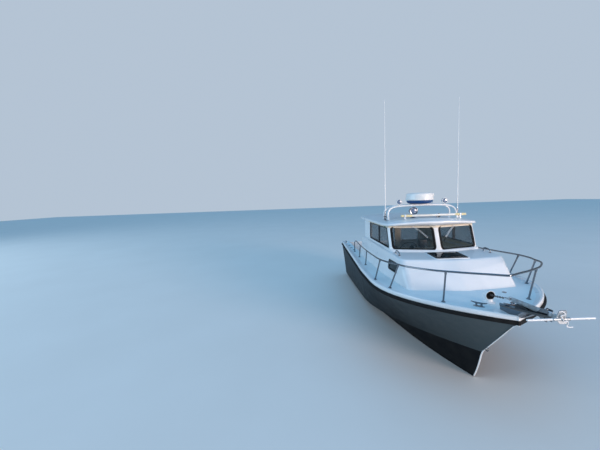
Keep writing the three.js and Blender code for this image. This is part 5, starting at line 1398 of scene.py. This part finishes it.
def build_helm_details():
    """Throttle, compass and gauges on the dash."""
    base = at(2.93, -0.73, 1.99)
    steps = ((0, 0, 0.03), (0.03, 0, 0.11), (0.05, 0, 0.18))
    lever = tube([base + Vector(step) for step in steps], 0.008, 12, 6)
    profile = [(0, -0.02), (0.018, -0.018), (0.02, 0.01), (0, 0.02)]
    knob = turned(profile, 0.006, base + Vector((0.052, 0, 0.19)), UP, 20)
    make("throttle_box", box(2.84, 2.95, -0.77, -0.69, 1.9902, 2.03), "black")
    make("throttle_lever", [lever, knob], "steel", angle=45)
    spot = at(2.83, -0.36, 1.9903)
    foot = [(0, 0), (0.055, 0), (0.055, 0.016), (0.045, 0.024), (0, 0.024)]
    make("compass_base", turned(foot, 0.004, spot, UP, 32), "black", angle=45)
    dome = [(0.044 * c, 0.024 + 0.036 * s) for c, s in circle(1.0, 32)[:9]]
    make("compass_dome", lathe([(0, 0.022)] + dome, spot, UP, 32), "smoked")
    slope = Vector((-0.19, 0, 0.14)).normalized()
    spots = [at(2.97, y, 1.895) for y in (-0.56, -0.14)]
    bezel = [(0, 0), (0.048, 0), (0.048, 0.01), (0.04, 0.014), (0.038, 0.008), (0, 0.008)]
    make("dash_gauges", [turned(bezel, 0.003, p, slope, 32) for p in spots], "steel", angle=45)
    dial = [(0, 0.0085), (0.038, 0.0085), (0.038, 0.0095), (0, 0.0095)]
    make("dash_gauge_faces", [lathe(dial, p, slope, 32) for p in spots], "screen")


# Small fittings
def side_deck_y(d, share):
    """A place across the side deck, from the cockpit's edge to the toe rail."""
    return lerp(COCKPIT.fore_half, half_beam(d) - 0.07, share)


def cap(spot, radius, high, up=UP, dish=0.35):
    """A turned cap with a dished middle."""
    rows = [(0, 0), (radius, 0), (radius, high * 0.55), (radius * 0.86, high), (radius * 0.55, high),
            (radius * 0.5, high * (1 - dish)), (0, high * (1 - dish))]
    return turned(rows, min(high, radius) * 0.3, spot, up, steps=3)


def build_deck_fittings():
    """Rod holders and filler caps on the side decks."""
    rim = [(0, -0.004), (0.045, 0), (0.045, 0.004), (0.034, 0.012), (0.027, 0.014), (0.025, 0.004),
           (0, 0.004)]
    socket = [(0, 0.003), (0.025, 0.003), (0.0255, 0.009), (0, 0.005)]
    rims, holes, fillers = [], [], []
    for sign in (1, -1):
        for d in (5.75, 6.75):
            spot = at(d, sign * side_deck_y(d, 0.45), deck_z(d) + GAP)
            tilt = Vector((-0.25, sign * 0.1, 1)).normalized()
            rims.append(turned(rim, 0.003, spot, tilt, 28, 3))
            holes.append(lathe(socket, spot, tilt, 24))
        fillers.append(cap(at(6.2, sign * side_deck_y(6.2, 0.5), deck_z(6.2)), 0.042, 0.009))
    fillers.append(cap(at(1.05, 0.55, deck_z(1.05)), 0.036, 0.009))
    make("rod_holders", rims, "steel", angle=45)
    make("rod_holder_sockets", holes, "rubber")
    make("filler_caps", fillers, "steel", angle=45)


def build_cockpit(side, sign):
    """A coaming bolster, a low rail on studs and a drain inside, and a tow eye and a trim tab behind."""
    share = lambda d: (d - COCKPIT.fore_d) / (COCKPIT.aft_d - COCKPIT.fore_d)
    rows = [(d, lerp(COCKPIT.fore_half, COCKPIT.aft_half, share(d))) for d in (5.35, 5.8, 6.4, 7.0, 7.5)]
    pad = [(0.012 * c + (0.006 if c > 0 else -0.006), 0.07 * math.copysign(abs(s) ** 0.5, s))
           for c, s in circle(1.0, 20)]
    line = smooth_line([at(d, sign * (y - 0.021), 1.235) for d, y in rows], 5)
    make(f"coaming_bolster_{side}", sweep(line, pad, up=UP), "vinyl", angle=60)
    rail = [at(d, sign * (y - 0.045), 0.52) for d, y in rows]
    make(f"cockpit_toe_rail_{side}", tube(rail, 0.011, 12, 5), "steel")
    studs = [rod(at(d, sign * (y - 0.002), 0.52), end, 0.009) for (d, y), end in zip(rows, rail)]
    make(f"cockpit_toe_studs_{side}", studs, "steel")
    drain = cap(at(7.718, sign * 0.82, COCKPIT_SOLE_Z + 0.05), 0.04, 0.008, FORWARD, 0.8)
    make(f"cockpit_drain_{side}", drain, "rubber")
    eye = [(7.9, 0.79), (7.95, 0.79), (7.968, 0.75), (7.95, 0.71), (7.9, 0.71)]
    make(f"tow_eye_{side}", tube([at(d, sign * 0.8, z) for d, z in eye], 0.008, 12, 6), "steel")
    transom, y = HULL_LENGTH + GAP, sign * 0.78
    tab = [box(transom, 8.12, sign * 0.95, sign * 0.6, -0.012, -0.004),
           rod(at(8.03, y, 0.0), at(7.905, y, 0.2), 0.014),
           box(transom, 7.92, y - 0.03, y + 0.03, 0.17, 0.24)]
    make(f"trim_tab_{side}", tab, "steel")


def build_side_light(side, sign):
    y, top = sign * (HOUSE_OUTER_Y + 0.0002), 2.528
    body = [(-0.045, 0.0), (0.045, 0.0), (0.04, 0.028), (0.01, 0.036), (-0.04, 0.028)]
    ring = lambda share, z: [at(2.86 + a * share, y + sign * b * share, z) for a, b in body]
    make(f"nav_light_base_{side}", loft([ring(1, top), ring(1, top + 0.0005)]), "black")
    make(f"nav_light_lens_{side}", loft([ring(0.8, 2.5095), ring(0.86, top)]),
         "lens_red" if side == "port" else "lens_green")


def build_roof_fittings():
    """An all-round light on the arch and a horn on the roof."""
    base = at(3.4, 0.4, ARCH.top + 0.02)
    make("anchor_light_post", rod(base, base + UP * 0.2, 0.011), "arch")
    glass = [(0, 0.2), (0.026, 0.2), (0.026, 0.25), (0.018, 0.262), (0, 0.264)]
    make("anchor_light_lens", turned(glass, 0.005, base), "lens_clear")
    horn = [(0, -0.1), (0.02, -0.1), (0.022, -0.02), (0.026, 0.03), (0.05, 0.07), (0.046, 0.07),
            (0.018, 0.03), (0, 0.03)]
    spot = at(2.95, 0.3, roof_top_z(0.3, 2.95) + 0.052)
    foot = rod(spot - UP * 0.052 + AFT * 0.02, spot + AFT * 0.02, 0.012)
    make("horn", [turned(horn, 0.004, spot, FORWARD), foot], "steel", angle=45)


def build_vents(side, sign):
    """Clam-shell vents on the trunk's side."""
    z = 1.72
    parts = []
    for d in (4.45, 4.62, 4.79):
        wall = side_wall_y(d, z)
        rings = []
        for a in (math.pi * k / 6 for k in range(7)):
            # Columns: reach along the wall, how far out, height
            rows = ((0.05, -0.003, -0.035), (0.05, 0.026 * math.sin(a), -0.035),
                    (0.042, 0.02 * math.sin(a), 0.02), (0.03, -0.003, 0.04))
            rings.append([at(d - reach * math.cos(a), sign * (wall + out), z + up)
                          for reach, out, up in rows])
        parts.append(loft(rings))
    make(f"hull_vents_{side}", parts, "arch", angle=50)


def build_transom_fittings():
    """A blanking plate on the transom, the clamp's bolts and the bracket's anodes."""
    plate = [(0, 0), (0.07, 0), (0.07, 0.006), (0.06, 0.012), (0, 0.014)]
    make("transom_plate", turned(plate, 0.003, at(HULL_LENGTH + GAP, 0.42, 0.95), AFT, 32), "black", angle=45)
    bolt = [(0, 0), (0.013, 0), (0.013, 0.01), (0, 0.012)]
    bolts = [turned(bolt, 0.002, at(8.7045, y, z), AFT, 6) for y in (-0.13, 0.13) for z in (0.1, 0.3)]
    make("clamp_bolts", bolts, "steel", angle=30)
    anode = [(0, 0), (0.022, 0), (0.02, 0.009), (0, 0.011)]
    make("bracket_anode", [turned(anode, 0.003, at(8.5, s * 0.3603, 0.0), PORT * s, 20) for s in (1, -1)],
         "galvanised")


# CAD solids that keep their shape, with new finishes. Columns: node, material, rounding of the edges.
REPAINTED = [
    ("aft_bulkhead", "liner", 0), ("bulkhead_glass", "glass", 0), ("cabin_door", "gelcoat", 0.003),
    ("door_glass", "glass", 0), ("dash_console", "liner", 0.012), ("helm_seat_post", "steel", 0.002),
    ("mate_seat_post", "steel", 0.002), ("bow_roller", "steel", 0.001), ("fish_box_lid", "nonskid", 0.003),
    ("motor_bracket", "gelcoat", 0.015), ("motor_clamp", "engine", 0.004), ("motor_swivel", "engine", 0.004),
    ("motor_leg", "engine", 0.003),
]


def repaint(node, material, radius):
    obj = nodes[node]
    obj.data.materials.clear()
    obj.data.materials.append(M[material])
    if radius:
        modify(obj, "WELD", merge_threshold=0.00002)
        bevel(obj, radius, 2, 40)


def repaint_faces(node, material, wanted):
    """A second material on the faces of a node whose middle passes the test."""
    mesh = nodes[node].data
    mesh.materials.append(M[material])
    paint_faces(mesh, 1, lambda face: wanted(face.center))


def build_pieces():
    for build in (build_hull, build_deck, build_rub_rail, build_stem, build_trunk, build_hatch, build_house,
                  build_visor_trim, build_shield_coaming, build_roof, build_bow_rail, build_arch, build_radar,
                  build_search_light, build_pole, build_anchor, build_chain, build_chain_pipe,
                  build_chain_stopper, build_engine, build_propeller, build_wheel, build_plotter,
                  build_helm_details, build_deck_fittings, build_roof_fittings, build_transom_fittings):
        build()
    for build in (build_portlights, build_panes, build_grab_rail, build_deck_light, build_whip, build_wiper,
                  build_cockpit, build_side_light, build_vents, build_berth_cushion):
        both_sides(build)
    for row in (("bow_cleat_port", 0.47, 0.26, 0.9), ("bow_cleat_stbd", 0.47, -0.26, -0.9),
                ("stern_cleat_port", 7.56, 1.165, 0.02), ("stern_cleat_stbd", 7.56, -1.165, -0.02)):
        build_cleat(*row)
    build_seat("helm", -0.43)
    build_seat("mate", 0.43)
    for row in REPAINTED:
        repaint(*row)
    repaint_faces("cabin_door", "steel", lambda p: p.x < MID - 4.984 or p.y > 0.7535)
    axle = at(-0.41, 0, 1.6958)
    from_axle = lambda p: math.hypot(p.x - axle.x, p.z - axle.z)
    repaint_faces("bow_roller", "rubber", lambda p: abs(p.y) < 0.0245 and from_axle(p) < 0.036)


# Stage, light and camera
def emit(name, place, target, size, power, colour):
    data = bpy.data.lights.new(name, "AREA")
    data.shape = "RECTANGLE"
    data.size, data.size_y = size
    data.energy = power
    data.color = colour
    lamp = bpy.data.objects.new(name, data)
    lamp.location = place
    lamp.rotation_euler = (Vector(target) - Vector(place)).to_track_quat("-Z", "Y").to_euler()
    bpy.context.scene.collection.objects.link(lamp)


def build_sky():
    """A soft dome of light: dim at the horizon, bright blue overhead, and plain where the camera sees it."""
    world = bpy.data.worlds.new("studio")
    world.use_nodes = True
    nt = world.node_tree
    dome = nt.nodes["Background"]
    coords = nt.nodes.new("ShaderNodeTexCoord")
    split = nt.nodes.new("ShaderNodeSeparateXYZ")
    nt.links.new(coords.outputs["Generated"], split.inputs["Vector"])
    sky = two_tones(nt, split.outputs["Z"], 0.3, 0.95, (0.20, 0.24, 0.29), (0.20, 0.55, 0.97))
    nt.links.new(sky, dome.inputs["Color"])
    plain = nt.nodes.new("ShaderNodeBackground")
    plain.inputs["Color"].default_value = (0.46, 0.55, 0.66, 1)
    path = nt.nodes.new("ShaderNodeLightPath")
    either = nt.nodes.new("ShaderNodeMixShader")
    nt.links.new(path.outputs["Is Camera Ray"], either.inputs[0])
    nt.links.new(dome.outputs[0], either.inputs[1])
    nt.links.new(plain.outputs[0], either.inputs[2])
    nt.links.new(either.outputs[0], nt.nodes["World Output"].inputs["Surface"])
    bpy.context.scene.world = world
    bpy.context.scene.view_settings.view_transform = "Standard"


def build_stage():
    size = 90.0
    material, nt, shader = tree("pale_floor")
    tones = two_tones(nt, noise_of(nt, 0.4, 3), 0.3, 0.7, (0.90, 0.80, 0.72), (0.93, 0.83, 0.75))
    finish_with(nt, shader, tones, Roughness=0.7)
    corners = [(-size, -size, 0), (size, -size, 0), (size, size, 0), (-size, size, 0)]
    new_object("floor", (corners, [(0, 1, 2, 3)]), [material])
    build_sky()
    emit("key", (38, 30, 6.6), (1, 0, 1.5), (20, 12), 21500, (1.0, 0.82, 0.74))
    emit("side", (6, -38, 12), (1, 0, 1.5), (28, 16), 6200, (0.62, 0.82, 1.0))


def build_camera():
    """The camera that took the photograph, solved from the boat's own symmetry."""
    place = (7.62142554, -2.93761033, 3.23439693)
    right = Vector((-0.00540305, 0.99935632, -0.0354649))
    up = Vector((-0.09283062, 0.03481101, 0.9950732))
    data = bpy.data.cameras.new("camera")
    data.sensor_width = 36.0
    data.lens = 16.571
    data.clip_end = 300
    camera = bpy.data.objects.new("camera", data)
    turn = Matrix((right, up, right.cross(up))).transposed().to_4x4()
    camera.matrix_world = Matrix.Translation(place) @ turn
    bpy.context.scene.collection.objects.link(camera)
    bpy.context.scene.camera = camera


build_camera()
build_pieces()
build_stage()
